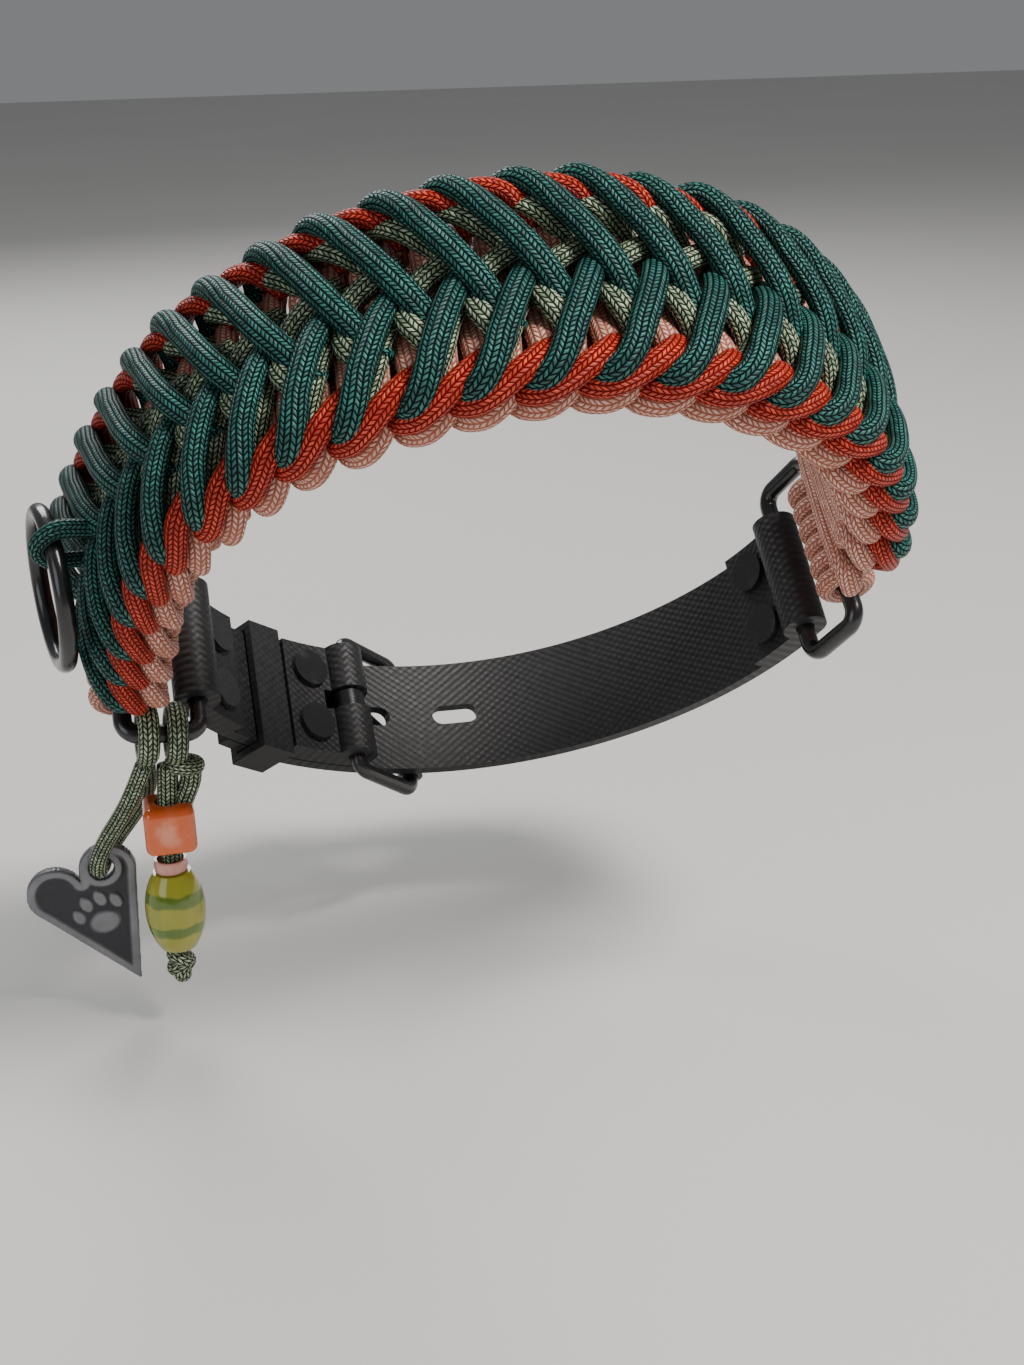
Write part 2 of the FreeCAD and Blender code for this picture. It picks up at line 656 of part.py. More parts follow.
def knot_on_bar(label, centre):
    keep(primitive("Part::Torus", label, Placement(), Radius1=str(CORD_SEAT), Radius2="Sizes.cord_dia / 2"),
         label, Placement(centre, Rotation(Z_AXIS, BAR_AXIS)))


CORD_SEAT = size("loop_wire") / 2 + size("fit_gap") + CORD / 2


def lanyard():
    """Cord from a hitch on the loop down through two beads to a stopper knot."""
    knot_on_bar("lanyard_hitch", LANYARD_BAR)
    start = -CORD_SEAT - CORD / 2 - 0.1
    stop = GLASS_DROP + size("glass_length") / 2 + 0.4
    long_rows = [(-2.1, -0.1, start), (-2.5, -0.2, start - 4.5), (BEAD_SHIFT, 0, start - 9),
                 (BEAD_SHIFT - 0.1, 0.1, start - 18), (GLASS_SHIFT + 0.1, 0, start - 26), (GLASS_SHIFT, 0.1, -stop)]
    cord_tube("lanyard_cord", offsets(LANYARD_BAR, long_rows), CORD)
    cube_top = ORANGE_DROP - size("cube_side") / 2
    short_rows = [(2.1, 0.1, start), (1.9, 0, start - 3.4), (BEAD_SHIFT + 4.2, 0.1, size("layer_gap") - cube_top)]
    cord_tube("lanyard_strand", offsets(LANYARD_BAR, short_rows), CORD)
    beads()


def beads():
    """Orange cube bead, pink spacer, oval glass bead and the stopper knot under it."""
    side = size("cube_side")
    centre = LANYARD_BAR + Vector(BEAD_SHIFT * SPREAD, 0, -ORANGE_DROP)
    box = primitive("Part::Box", "cube_block", Placement(centre - Vector(side, side, side) * 0.5, Rotation()),
                    Length="Sizes.cube_side", Width="Sizes.cube_side", Height="Sizes.cube_side")
    DOC.recompute()
    rounded = DOC.addObject("Part::Fillet", "cube_rounded")
    rounded.Base = box
    rounded.Edges = [(number, side * 0.17, side * 0.17) for number in range(1, 13)]
    bore = primitive("Part::Cylinder", "cube_bore", Placement(centre - Vector(0, 0, side), Rotation()),
                     Radius="(Sizes.cord_dia + Sizes.bead_slack) / 2", Height="Sizes.cube_side * 2")
    keep(cut("orange_bead", rounded, bore), "orange_bead", Placement())
    glass = LANYARD_BAR + Vector(GLASS_SHIFT * SPREAD, 0, -GLASS_DROP)
    lathe("glass_bead", glass, size("glass_dia") / 2, size("glass_length") / 2, BEAD_BORE)
    spacer = glass + Vector(0, 0, size("glass_length") / 2 + size("fit_gap") + size("spacer_height") / 2)
    lathe("spacer_bead", spacer, size("spacer_dia") / 2, size("spacer_height") / 2, BEAD_BORE + 0.2)
    knot = glass - Vector(0, 0, size("glass_length") / 2 + 0.5 + size("knot_dia") / 2)
    keep(primitive("Part::Sphere", "stopper_knot", Placement(), Radius="Sizes.knot_dia / 2"),
         "stopper_knot", Placement(knot, Rotation()))


def lathe(label, centre, radius, half, bore):
    """A bead turned about Z: a barrel with an elliptical side and a straight bore."""
    shoulder = 0.62 * radius
    bulge = Vector(radius, 0, 0)
    profile = [
        Part.LineSegment(Vector(bore, 0, -half), Vector(max(shoulder, bore + 0.4), 0, -half)),
        Part.Arc(Vector(max(shoulder, bore + 0.4), 0, -half), bulge, Vector(max(shoulder, bore + 0.4), 0, half)),
        Part.LineSegment(Vector(max(shoulder, bore + 0.4), 0, half), Vector(bore, 0, half)),
        Part.LineSegment(Vector(bore, 0, half), Vector(bore, 0, -half)),
    ]
    face = Part.Face(Part.Wire([edge.toShape() for edge in profile]))
    solid = face.revolve(Vector(), Z_AXIS, 360)
    feature(label, [solid], Placement(centre, Rotation()))


TAG_HOLE = TAG_BAR + Vector(-11.4, 8.4, -30)
TAG_RING = size("tag_loop_dia") / 2 + 2.9


def tag():
    """A second hitch, two strands, and the heart tag on the loop between them."""
    knot_on_bar("tag_hitch", TAG_BAR)
    start = -CORD_SEAT - CORD / 2 - 0.4
    ring_centre = TAG_HOLE + Vector(0, 0, TAG_RING)
    end = ring_centre + Vector(0, 0, TAG_RING + size("tag_loop_dia") / 2 + 1.6) - TAG_BAR
    left = [(-1.2, -2.1, start), (-2.4, -0.8, start - 4), (-6.6, 3.4, start - 8), (end.x / SPREAD - 2.2, end.y / SPREAD, end.z)]
    right = [(-0.6, 2.1, start), (-0.2, 5.6, start - 3.6), (-0.8, 9.8, start - 7.6), (-4.4, 10.4, start - 11.6),
             (end.x / SPREAD + 2.2, end.y / SPREAD, end.z)]
    cord_tube("tag_cord_left", offsets(TAG_BAR, left), CORD)
    cord_tube("tag_cord_right", offsets(TAG_BAR, right), CORD)
    keep(primitive("Part::Torus", "tag_cord_loop", Placement(), Radius1=str(TAG_RING),
                   Radius2="Sizes.tag_loop_dia / 2"),
         "tag_cord_loop", Placement(ring_centre, Rotation(Z_AXIS, X_AXIS)))
    heart_tag()


def heart_tag():
    """A heart plate with a hole straight above its centre of mass."""
    lobe = size("heart_width") / 4
    tip = lobe - size("heart_height")
    far = lobe * math.cos(math.radians(35))
    low = -lobe * math.sin(math.radians(35))
    body = DOC.addObject("PartDesign::Body", "heart_tag")
    sketch = body.newObject("Sketcher::SketchObject", "heart_outline")
    sketch.AttachmentSupport = (next(f for f in body.Origin.OriginFeatures if f.Role == "XZ_Plane"), [""])
    sketch.MapMode = "FlatFace"
    sketch.addGeometry(Part.LineSegment(Vector(0, tip, 0), Vector(lobe + far, low, 0)))
    sketch.addGeometry(Part.Arc(Vector(lobe + far, low, 0), Vector(lobe, lobe, 0), Vector(0, 0, 0)))
    sketch.addGeometry(Part.Arc(Vector(0, 0, 0), Vector(-lobe, lobe, 0), Vector(-lobe - far, low, 0)))
    sketch.addGeometry(Part.LineSegment(Vector(-lobe - far, low, 0), Vector(0, tip, 0)))
    hole = Vector(lobe * 0.86, lobe * 0.18, 0)
    sketch.addGeometry(Part.Circle(hole, Z_AXIS, size("tag_hole") / 2))
    plate = body.newObject("PartDesign::Pad", "heart_plate")
    plate.Profile = sketch
    plate.setExpression("Length", "Sizes.heart_thick")
    plate.Midplane = True
    turn = Rotation(Y_AXIS, -size("heart_tilt"))
    at_hole = turn.multVec(Vector(hole.x, 0, hole.y))
    keep(body, "heart_tag", Placement(TAG_HOLE - at_hole, turn))


# ---------------------------------------------------------------- build and write

def check_and_write():
    DOC.recompute()
    failed = [item.Name for item in DOC.Objects if "Invalid" in item.State or "Error" in item.State]
    if failed:
        raise RuntimeError(f"failed objects: {failed}")
    for node in NODES:
        if node.Shape.isNull() or not node.Shape.isValid() or not node.Shape.Solids:
            raise RuntimeError(f"bad shape: {node.Label}")
    os.makedirs("parts", exist_ok=True)
    for node in NODES:
        node.Shape.exportStep(f"parts/{node.Label}.step")
    print(f"{len(NODES)} nodes")


woven_band()
edge_scallops()
green_lacing()
end_loops()
end_wraps()
buckled_strap()
holed_strap()
buckle()
keeper()
leash_ring()
lanyard()
tag()
check_and_write()
show("lanyard hinge", LANYARD_BAR)
show("tag hinge", TAG_BAR)
show("heart hinge", TAG_HOLE)
show("orange bead", LANYARD_BAR + Vector(BEAD_SHIFT * SPREAD, 0, -ORANGE_DROP))
show("glass bead", LANYARD_BAR + Vector(GLASS_SHIFT * SPREAD, 0, -GLASS_DROP))
show("buckle heel", LEAN.multVec(buckle_frame_axes()[0]))
show("buckle roller", LEAN.multVec(buckle_frame_axes()[1]))
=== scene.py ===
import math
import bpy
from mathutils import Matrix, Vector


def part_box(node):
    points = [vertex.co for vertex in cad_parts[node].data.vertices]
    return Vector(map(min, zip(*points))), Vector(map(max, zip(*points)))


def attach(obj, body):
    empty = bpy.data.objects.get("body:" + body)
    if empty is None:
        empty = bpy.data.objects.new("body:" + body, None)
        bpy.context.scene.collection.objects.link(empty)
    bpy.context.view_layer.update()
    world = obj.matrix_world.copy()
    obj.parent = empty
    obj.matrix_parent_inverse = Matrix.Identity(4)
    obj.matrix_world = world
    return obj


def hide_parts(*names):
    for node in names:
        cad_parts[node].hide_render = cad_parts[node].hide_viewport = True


bl_info = {
    "name": "Woven Cord Collar",
    "version": (1, 0, 0),
    "blender": (4, 5, 0),
    "location": "View3D > Sidebar > Collar",
    "description": "Braided cord, straps, metalwork and charms of a woven collar, round its packed frame",
    "category": "Object",
}

import bpy
import numpy as np
from bpy.props import FloatProperty, FloatVectorProperty, IntProperty, PointerProperty
from mathutils import Euler, Matrix, Vector

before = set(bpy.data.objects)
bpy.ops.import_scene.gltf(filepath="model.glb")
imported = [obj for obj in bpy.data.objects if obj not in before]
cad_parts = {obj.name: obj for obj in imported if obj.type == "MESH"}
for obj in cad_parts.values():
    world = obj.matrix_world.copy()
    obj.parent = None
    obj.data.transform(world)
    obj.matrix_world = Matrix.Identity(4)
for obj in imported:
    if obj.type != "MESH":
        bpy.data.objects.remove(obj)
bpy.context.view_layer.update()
MM = 0.001

# The band is laid out flat: x runs along the seam line from the top of the ring, y across it and
# z outwards, in mm. The row tree below bends that flat lay round the neck.
SEAM_RADIUS = 63.1
PITCH = 9.15
STITCHES = 24
RIGHT_STITCHES = 11.06
HALF_WIDTH = 16.35
LEFT_END = (RIGHT_STITCHES - STITCHES) * PITCH
ARC_LEFT = -SEAM_RADIUS * math.radians(83)
FLARE_START = 0.75 * ARC_LEFT
FLARE = math.radians(12)
LEAN = math.radians(40)
LOOP_SEAT = 4.5
WRAP_RADIUS = 3.9
WRAP_REACH = 2.2
WRAP_STEP = 4.2
WRAP_TURNS = 6


def node_centre(name):
    """The middle of a CAD piece, in metres."""
    low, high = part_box(name)
    return (Vector(low) + Vector(high)) / 2


# Where the lanyard and the tag hang on the left end loop, and the hole in the tag, in mm.
LANYARD_BAR = Vector((-61.8083, 2.0454, -31.9963))
TAG_BAR = Vector((-66.9645, 1.6124, -31.4804))
TAG_HOLE = TAG_BAR + Vector((-11.4, 8.4, -30))
BAR_AXIS = (LANYARD_BAR - TAG_BAR).normalized()

# The heart tag, in mm: half its width is two lobe radii, its straight sides leave the lobes at an
# angle below level, and the cord's hole is near the middle of the right lobe.
HEART_WIDTH = 22
HEART_HEIGHT = 30
HEART_LOBE = HEART_WIDTH / 4
HEART_TIP = HEART_LOBE - HEART_HEIGHT
HEART_LEAVE = math.radians(35)
HEART_TILT = math.radians(22)
HEART_HOLE = (HEART_LOBE * 0.86, HEART_LOBE * 0.18)
HOLE_RADIUS = 2.3
HEART_GRID = 0.22
HALF_THICK = 1.1
RELIEF_HEIGHT = 0.35
RIM_WIDTH = 1.9
RIM_SLOPE = 0.5
EDGE_ROUND = 0.5
BACK_RIM = 1.2
BACK_FIELD = 0.95
# The paw's pads: middle across, middle up, half the width and half the height.
PAW_PADS = ((0, -9.6, 2.9, 2.3), (-3.9, -6.4, 1.1, 1.6), (-1.45, -4.6, 1.15, 1.7),
            (1.45, -4.6, 1.15, 1.7), (3.9, -6.4, 1.1, 1.6))
PAD_EDGE = 1.15
PAD_SLOPE = 0.3

CAMERA_PLACE = Vector((-62.14, -291.13, 91.14))
CAMERA_TURN = (68.1841, 1.2159, -12.7883)
LENS = 44.637
FLOOR_HALF = 4.0
FLOOR_LEVEL = -0.0945


# ---------------------------------------------------------------- settings

def length_setting(name, description, default):
    return FloatProperty(name=name, description=description, default=default, min=0, unit="LENGTH")


def colour_setting(name, description, default):
    return FloatVectorProperty(name=name, description=description, default=default, min=0, max=1,
                               size=3, subtype="COLOR")


class CollarSizes(bpy.types.PropertyGroup):
    """Sizes of the cord and the weave."""
    cord: length_setting("Cord", "Diameter of the braided cord", 0.004)
    stitches: IntProperty(name="Stitches", description="Repeats in the woven band", default=STITCHES, min=1)
    looseness: length_setting("Looseness", "How far a strand strays from its place in the weave", 0.00022)
    sides: IntProperty(name="Sides", description="Facets round a strand of cord", default=16, min=6)


class CollarColours(bpy.types.PropertyGroup):
    """Colours of the cords: the ground of the sheath, and the bright colour of its yarn crowns, which is
    partly the yarns' own colour and partly painted highlight.
    """
    # Each bright colour below goes on the yarn crowns: partly the bright yarns' own colour, partly painted
    # highlight.
    green: colour_setting("Green", "Ground of the dark green cord", (0.0022, 0.011, 0.013))
    green_fleck: colour_setting("Green Fleck", "Bright yarns of the dark green cord", (0.042, 0.22, 0.18))
    sage: colour_setting("Sage", "Ground of the sage cord", (0.012, 0.030, 0.015))
    sage_fleck: colour_setting("Sage Fleck", "Bright yarns of the sage cord", (0.62, 0.70, 0.48))
    red: colour_setting("Red", "Ground of the red cord", (0.17, 0.004, 0.002))
    red_fleck: colour_setting("Red Fleck", "Bright yarns of the red cord", (0.86, 0.085, 0.035))
    pink: colour_setting("Pink", "Ground of the pink cord", (0.42, 0.14, 0.095))
    pink_fleck: colour_setting("Pink Fleck", "Bright yarns of the pink cord", (0.96, 0.64, 0.52))


# ---------------------------------------------------------------- node helpers

def add_node(tree, kind, inputs=None, **settings):
    node = tree.nodes.new(kind)
    for name, value in settings.items():
        setattr(node, name, value)
    for key, value in (inputs or {}).items():
        if isinstance(value, bpy.types.NodeSocket):
            tree.links.new(value, node.inputs[key])
        elif value is not None:
            node.inputs[key].default_value = value
    return node


def maths(tree, operation, *values, clamp=False):
    node = add_node(tree, "ShaderNodeMath", dict(enumerate(values)), operation=operation, use_clamp=clamp)
    return node.outputs[0]


def vector_maths(tree, operation, first, second=None, scale=None):
    inputs = {0: first, 1: second} if scale is None else {0: first, "Scale": scale}
    node = add_node(tree, "ShaderNodeVectorMath", inputs, operation=operation)
    return node.outputs[0]


def smooth_step(tree, value, low, high):
    inputs = {"Value": value, "From Min": low, "From Max": high}
    node = add_node(tree, "ShaderNodeMapRange", inputs, interpolation_type="SMOOTHSTEP", clamp=True)
    return node.outputs[0]


def combine(tree, x, y, z):
    return add_node(tree, "ShaderNodeCombineXYZ", {0: x, 1: y, 2: z}).outputs[0]


def mix_colour(tree, share, first, second, blend="MIX"):
    node = add_node(tree, "ShaderNodeMix", data_type="RGBA", blend_type=blend)
    for key, value in ((0, share), (6, first), (7, second)):
        if isinstance(value, bpy.types.NodeSocket):
            tree.links.new(value, node.inputs[key])
        elif key == 0:
            node.inputs[key].default_value = value
        else:
            node.inputs[key].default_value = (*value[:3], 1)
    return node.outputs[2]


def object_place(tree):
    """The place on the piece, in metres."""
    return add_node(tree, "ShaderNodeTexCoord").outputs["Object"]


def noise(tree, place, scale, detail=2.0):
    inputs = {"Vector": place, "Scale": scale, "Detail": detail}
    return add_node(tree, "ShaderNodeTexNoise", inputs).outputs[0]


def new_material(name, values=None):
    """A material with these values on its Principled shader; returns it, its tree and the shader."""
    material = bpy.data.materials.new(name)
    material.use_nodes = True
    shader = material.node_tree.nodes["Principled BSDF"]
    for key, value in (values or {}).items():
        shader.inputs[key].default_value = value
    return material, material.node_tree, shader


def link_surface(tree, shader, colour, height, strength, distance, roughness=None):
    """Links the colour, a bump of the height and, where it varies, the roughness."""
    tree.links.new(colour, shader.inputs["Base Color"])
    if roughness is not None:
        tree.links.new(roughness, shader.inputs["Roughness"])
    bump = add_node(tree, "ShaderNodeBump", {"Strength": strength, "Distance": distance, "Height": height})
    tree.links.new(bump.outputs[0], shader.inputs["Normal"])


# ---------------------------------------------------------------- materials

def braided_cord(name, ground, fleck_and_highlight):
    """A woven nylon sheath: slanted yarns in rows round the cord, from the cord's own UV, with a bright
    colour on the yarn crowns that is partly the yarns' own colour and partly painted highlight.
    """
    rows = 14.0
    yarn = 0.78
    material, tree, shader = new_material(name, {"Roughness": 0.42})
    lay = add_node(tree, "ShaderNodeUVMap", uv_map="UVMap").outputs[0]
    place = add_node(tree, "ShaderNodeSeparateXYZ", {0: lay})
    round_it = maths(tree, "MULTIPLY", place.outputs[0], rows)
    row = maths(tree, "FLOOR", round_it)
    side = maths(tree, "SUBTRACT", maths(tree, "FRACT", round_it), 0.5)
    odd = maths(tree, "MODULO", row, 2.0)
    slant = maths(tree, "MULTIPLY", side, maths(tree, "MULTIPLY_ADD", odd, -1.9, 0.95))
    along = maths(tree, "ADD", maths(tree, "DIVIDE", place.outputs[1], yarn), slant)
    cell = maths(tree, "FLOOR", along)
    step = maths(tree, "SUBTRACT", maths(tree, "FRACT", along), 0.5)
    lengthwise = maths(tree, "POWER", maths(tree, "ABSOLUTE", maths(tree, "MULTIPLY", step, 2.0)), 2.0)
    sideways = maths(tree, "POWER", maths(tree, "ABSOLUTE", maths(tree, "MULTIPLY", side, 2.0)), 1.8)
    crown = maths(tree, "SUBTRACT", 1.0, maths(tree, "MAXIMUM", lengthwise, sideways), clamp=True)
    yarn_place = combine(tree, row, cell, 0.0)
    chance = add_node(tree, "ShaderNodeTexWhiteNoise", {0: yarn_place}, noise_dimensions="2D").outputs[0]
    lit = smooth_step(tree, crown, 0.42, 0.70)
    tree.links.new(maths(tree, "MULTIPLY_ADD", lit, 0.42, 0.06), shader.inputs["Specular IOR Level"])
    # The bright colour goes on the yarn crowns: partly the yarns' own colour, partly painted highlight.
    bright = maths(tree, "MULTIPLY", lit, maths(tree, "MULTIPLY_ADD", chance, 0.7, 0.35))
    drift = noise(tree, object_place(tree), 160.0)
    tone = maths(tree, "MULTIPLY", bright, maths(tree, "MULTIPLY_ADD", drift, 1.1, 0.35), clamp=True)
    fibre_along = maths(tree, "MULTIPLY", along, 9.0)
    fibre_round = maths(tree, "MULTIPLY", round_it, 1.2)
    fibre = noise(tree, combine(tree, fibre_along, fibre_round, 0.0), 2.0, 1.0)
    height = maths(tree, "ADD", crown, maths(tree, "MULTIPLY", fibre, 0.16))
    link_surface(tree, shader, mix_colour(tree, tone, ground, fleck_and_highlight), height, 0.9, 0.00022)
    return material


def black_enamel(name):
    """Black coated wire: a smooth gloss with faint orange peel and slightly worn patches."""
    material, tree, shader = new_material(name, {"Coat Weight": 0.35, "Coat Roughness": 0.12})
    spot = object_place(tree)
    worn = noise(tree, spot, 240.0, 4.0)
    patches = smooth_step(tree, worn, 0.55, 0.8)
    colour = mix_colour(tree, patches, (0.010, 0.010, 0.011), (0.035, 0.034, 0.033))
    link_surface(tree, shader, colour, noise(tree, spot, 900.0), 0.25, 0.00008,
                 roughness=maths(tree, "MULTIPLY_ADD", worn, 0.3, 0.12))
    return material


def coated_webbing(name):
    """Black coated strap: the webbing's ribs show softly through the coat."""
    strap_radius, rib_pitch, weft_pitch = 69, 2.2, 1.6
    material, tree, shader = new_material(name, {"Specular IOR Level": 0.4})
    spot = object_place(tree)
    unlean = {"Vector": spot, "Angle": -LEAN}
    upright = add_node(tree, "ShaderNodeVectorRotate", unlean, rotation_type="X_AXIS")
    place = add_node(tree, "ShaderNodeSeparateXYZ", {0: upright.outputs[0]})
    turn = maths(tree, "ARCTAN2", place.outputs[0], place.outputs[2])
    ribs = maths(tree, "SINE", maths(tree, "MULTIPLY", turn, 2 * math.pi * strap_radius / rib_pitch))
    across = maths(tree, "SINE", maths(tree, "MULTIPLY", place.outputs[1], 2 * math.pi / (weft_pitch * MM)))
    weave = maths(tree, "MULTIPLY", ribs, across)
    grain = noise(tree, spot, 700.0, 3.0)
    colour = mix_colour(tree, grain, (0.009, 0.009, 0.010), (0.024, 0.024, 0.025))
    link_surface(tree, shader, colour, maths(tree, "MULTIPLY_ADD", grain, 0.5, weave), 0.5, 0.00012,
                 roughness=maths(tree, "MULTIPLY_ADD", grain, 0.3, 0.36))
    return material


def from_centre(tree, spot, centre):
    """The place on the piece, measured from its middle."""
    shift = tuple(-value for value in centre)
    return add_node(tree, "ShaderNodeMapping", {"Vector": spot, "Location": shift}).outputs[0]


def glazed(name, body, deep, centre, highlight_reach):
    """Glazed ceramic: mottled, with a painted highlight that leaves the centre of the bead pale and goes over
    to the deep glaze colour away from it.
    """
    gloss = {"Roughness": 0.16, "Coat Weight": 0.6, "Coat Roughness": 0.06}
    material, tree, shader = new_material(name, gloss)
    spot = object_place(tree)
    cloud = noise(tree, spot, 330.0, 3.0)
    local = from_centre(tree, spot, centre)
    away = add_node(tree, "ShaderNodeVectorMath", {0: local}, operation="LENGTH").outputs["Value"]
    # The pale body colour round the centre is a painted highlight; past its reach the bead takes the deep
    # glaze colour.
    edge = smooth_step(tree, away, highlight_reach * 0.9, highlight_reach * 1.25)
    mottled = mix_colour(tree, smooth_step(tree, cloud, 0.35, 0.65), body, deep)
    colour = mix_colour(tree, maths(tree, "MULTIPLY", edge, 0.95), mottled, deep)
    link_surface(tree, shader, colour, cloud, 0.15, 0.0002)
    return material


def banded_glass(name, centre):
    """Yellow green glass with darker green bands and small bubbles."""
    band_pitch = 6.6 * MM
    material, tree, shader = new_material(name, {"Roughness": 0.06, "Transmission Weight": 0.45, "IOR": 1.5,
                                                 "Coat Weight": 0.5, "Coat Roughness": 0.04})
    local = from_centre(tree, object_place(tree), centre)
    swirl = noise(tree, local, 170.0)
    height = add_node(tree, "ShaderNodeSeparateXYZ", {0: local}).outputs[2]
    drift = maths(tree, "MULTIPLY_ADD", swirl, 2.4, -2.9)
    wave = maths(tree, "SINE", maths(tree, "MULTIPLY_ADD", height, 2 * math.pi / band_pitch, drift))
    clear = mix_colour(tree, swirl, (0.62, 0.58, 0.05), (0.45, 0.46, 0.03))
    colour = mix_colour(tree, smooth_step(tree, wave, 0.25, 0.7), clear, (0.16, 0.27, 0.015))
    bubble = add_node(tree, "ShaderNodeTexVoronoi", {"Vector": local, "Scale": 900.0}).outputs[0]
    link_surface(tree, shader, colour, bubble, 0.12, 0.0002)
    return material


def antique_pewter(name):
    """Dark cast metal, brighter where the relief attribute says that it is rubbed."""
    material, tree, shader = new_material(name, {"Metallic": 0.85})
    relief = add_node(tree, "ShaderNodeAttribute", attribute_name="relief").outputs["Fac"]
    spot = object_place(tree)
    pits = noise(tree, spot, 1100.0, 4.0)
    cloud = noise(tree, spot, 210.0, 3.0)
    rubbed = maths(tree, "MULTIPLY", relief, maths(tree, "MULTIPLY_ADD", cloud, 0.8, 0.45), clamp=True)
    colour = mix_colour(tree, rubbed, (0.055, 0.055, 0.062), (0.25, 0.25, 0.27))
    link_surface(tree, shader, colour, pits, 0.5, 0.00012,
                 roughness=maths(tree, "MULTIPLY_ADD", pits, 0.35, 0.28))
    return material


def pale_floor(name):
    material, tree, shader = new_material(name, {"Roughness": 0.7})
    cloud = noise(tree, object_place(tree), 3.0)
    colour = mix_colour(tree, cloud, (0.60, 0.59, 0.57), (0.66, 0.65, 0.63))
    tree.links.new(colour, shader.inputs["Base Color"])
    return material


MATERIALS = {}


def finish_of(name):
    """The named finish, made once."""
    colours = bpy.context.scene.collar_colours
    if name in ("green", "sage", "red", "pink") and name not in MATERIALS:
        MATERIALS[name] = braided_cord(f"{name} braided cord", getattr(colours, name),
                                       getattr(colours, f"{name}_fleck"))
    elif name not in MATERIALS:
        MATERIALS[name] = {"enamel": black_enamel, "webbing": coated_webbing,
                           "pewter": antique_pewter}[name](name)
    return MATERIALS[name]


# ---------------------------------------------------------------- cord meshes

def smooth_line(points, spacing=0.9):
    """Points close together on a smooth line through the given ones."""
    points = np.array(points, float)
    padded = np.vstack([2 * points[0] - points[1], points, 2 * points[-1] - points[-2]])
    line = []
    for i in range(len(points) - 1):
        a, b, c, d = padded[i:i + 4]
        count = max(2, int(round(np.linalg.norm(c - b) / spacing)))
        for t in np.arange(count) / count:
            line.append(0.5 * (2 * b + (c - a) * t + (2 * a - 5 * b + 4 * c - d) * t ** 2
                               + (3 * b - a - 3 * c + d) * t ** 3))
    line.append(points[-1])
    return np.array(line)


def band_up(points):
    """Which way the flat of a strand faces: outwards, and sideways where it goes round an edge."""
    turn_start, turn_width, most = 11.5, 4.5, 1.6
    lean = np.clip((np.abs(points[:, 1]) - turn_start) / turn_width, 0, most) * np.sign(points[:, 1])
    return np.column_stack([np.zeros(len(points)), lean, np.ones(len(points))])


def tube_mesh(name, line, wide, thick, ups, closed=False, sides=16):
    """A flattened tube along a line in mm, with closed ends and a UV of turn and length in mm."""
    line = np.array(line, float)
    count = len(line)
    if closed:
        tangent = np.roll(line, -1, 0) - np.roll(line, 1, 0)
    else:
        tangent = np.gradient(line, axis=0)
    tangent /= np.linalg.norm(tangent, axis=1)[:, None]
    side = np.cross(np.broadcast_to(ups, line.shape), tangent)
    side /= np.linalg.norm(side, axis=1)[:, None]
    up = np.cross(tangent, side)
    turns = np.linspace(0, 2 * math.pi, sides, endpoint=False)
    ring = (side[:, None] * (np.cos(turns) * wide / 2)[None, :, None]
            + up[:, None] * (np.sin(turns) * thick / 2)[None, :, None])
    verts = (line[:, None] + ring).reshape(-1, 3)
    gaps = np.linalg.norm(np.diff(np.vstack([line, line[:1]]) if closed else line, axis=0), axis=1)
    run = np.concatenate([[0], np.cumsum(gaps)])
    faces, uvs = [], []
    for i in range(count if closed else count - 1):
        j = (i + 1) % count
        for k in range(sides):
            m = (k + 1) % sides
            faces.append((i * sides + k, i * sides + m, j * sides + m, j * sides + k))
            low, high = k / sides, (k + 1) / sides
            uvs += [(low, run[i]), (high, run[i]), (high, run[i + 1]), (low, run[i + 1])]
    if not closed:
        crown = thick * 0.25
        poles = ((0, line[0] - tangent[0] * crown), (count - 1, line[-1] + tangent[-1] * crown))
        for i, pole in poles:
            verts = np.vstack([verts, pole])
            for k in range(sides):
                m = (k + 1) % sides
                first, second = (i * sides + m, i * sides + k) if i == 0 else (i * sides + k, i * sides + m)
                faces.append((first, second, len(verts) - 1))
                uvs += [(m / sides, run[i]), (k / sides, run[i]), (k / sides, run[i] + thick * 0.3)]
    mesh = bpy.data.meshes.new(name)
    mesh.from_pydata((verts * MM).tolist(), [], faces)
    layer = mesh.uv_layers.new(name="UVMap")
    layer.data.foreach_set("uv", np.array(uvs, np.float32).ravel())
    mesh.polygons.foreach_set("use_smooth", [True] * len(mesh.polygons))
    mesh.update()
    return mesh


def spline_line(points):
    """The line of a free cord: a smooth spline with these points in mm as its controls."""
    curve = bpy.data.curves.new("cord route", "CURVE")
    curve.dimensions = "3D"
    curve.resolution_u = 14
    spline = curve.splines.new("NURBS")
    spline.points.add(len(points) - 1)
    for control, point in zip(spline.points, points):
        control.co = (*(Vector(point) * MM), 1)
    spline.order_u = 3
    spline.use_endpoint_u = True
    holder = bpy.data.objects.new("cord route", curve)
    mesh = bpy.data.meshes.new_from_object(holder)
    line = np.array([vertex.co for vertex in mesh.vertices]) / MM
    bpy.data.objects.remove(holder)
    bpy.data.meshes.remove(mesh)
    bpy.data.curves.remove(curve)
    return line


def steady_ups(line, start):
    """A facing that turns as little as it can along a line, for a round cord."""
    tangent = np.gradient(line, axis=0)
    tangent /= np.linalg.norm(tangent, axis=1)[:, None]
    ups = [np.array(start, float)]
    for t in tangent[1:]:
        up = ups[-1] - t * (ups[-1] @ t)
        ups.append(up / np.linalg.norm(up))
    return np.array(ups)


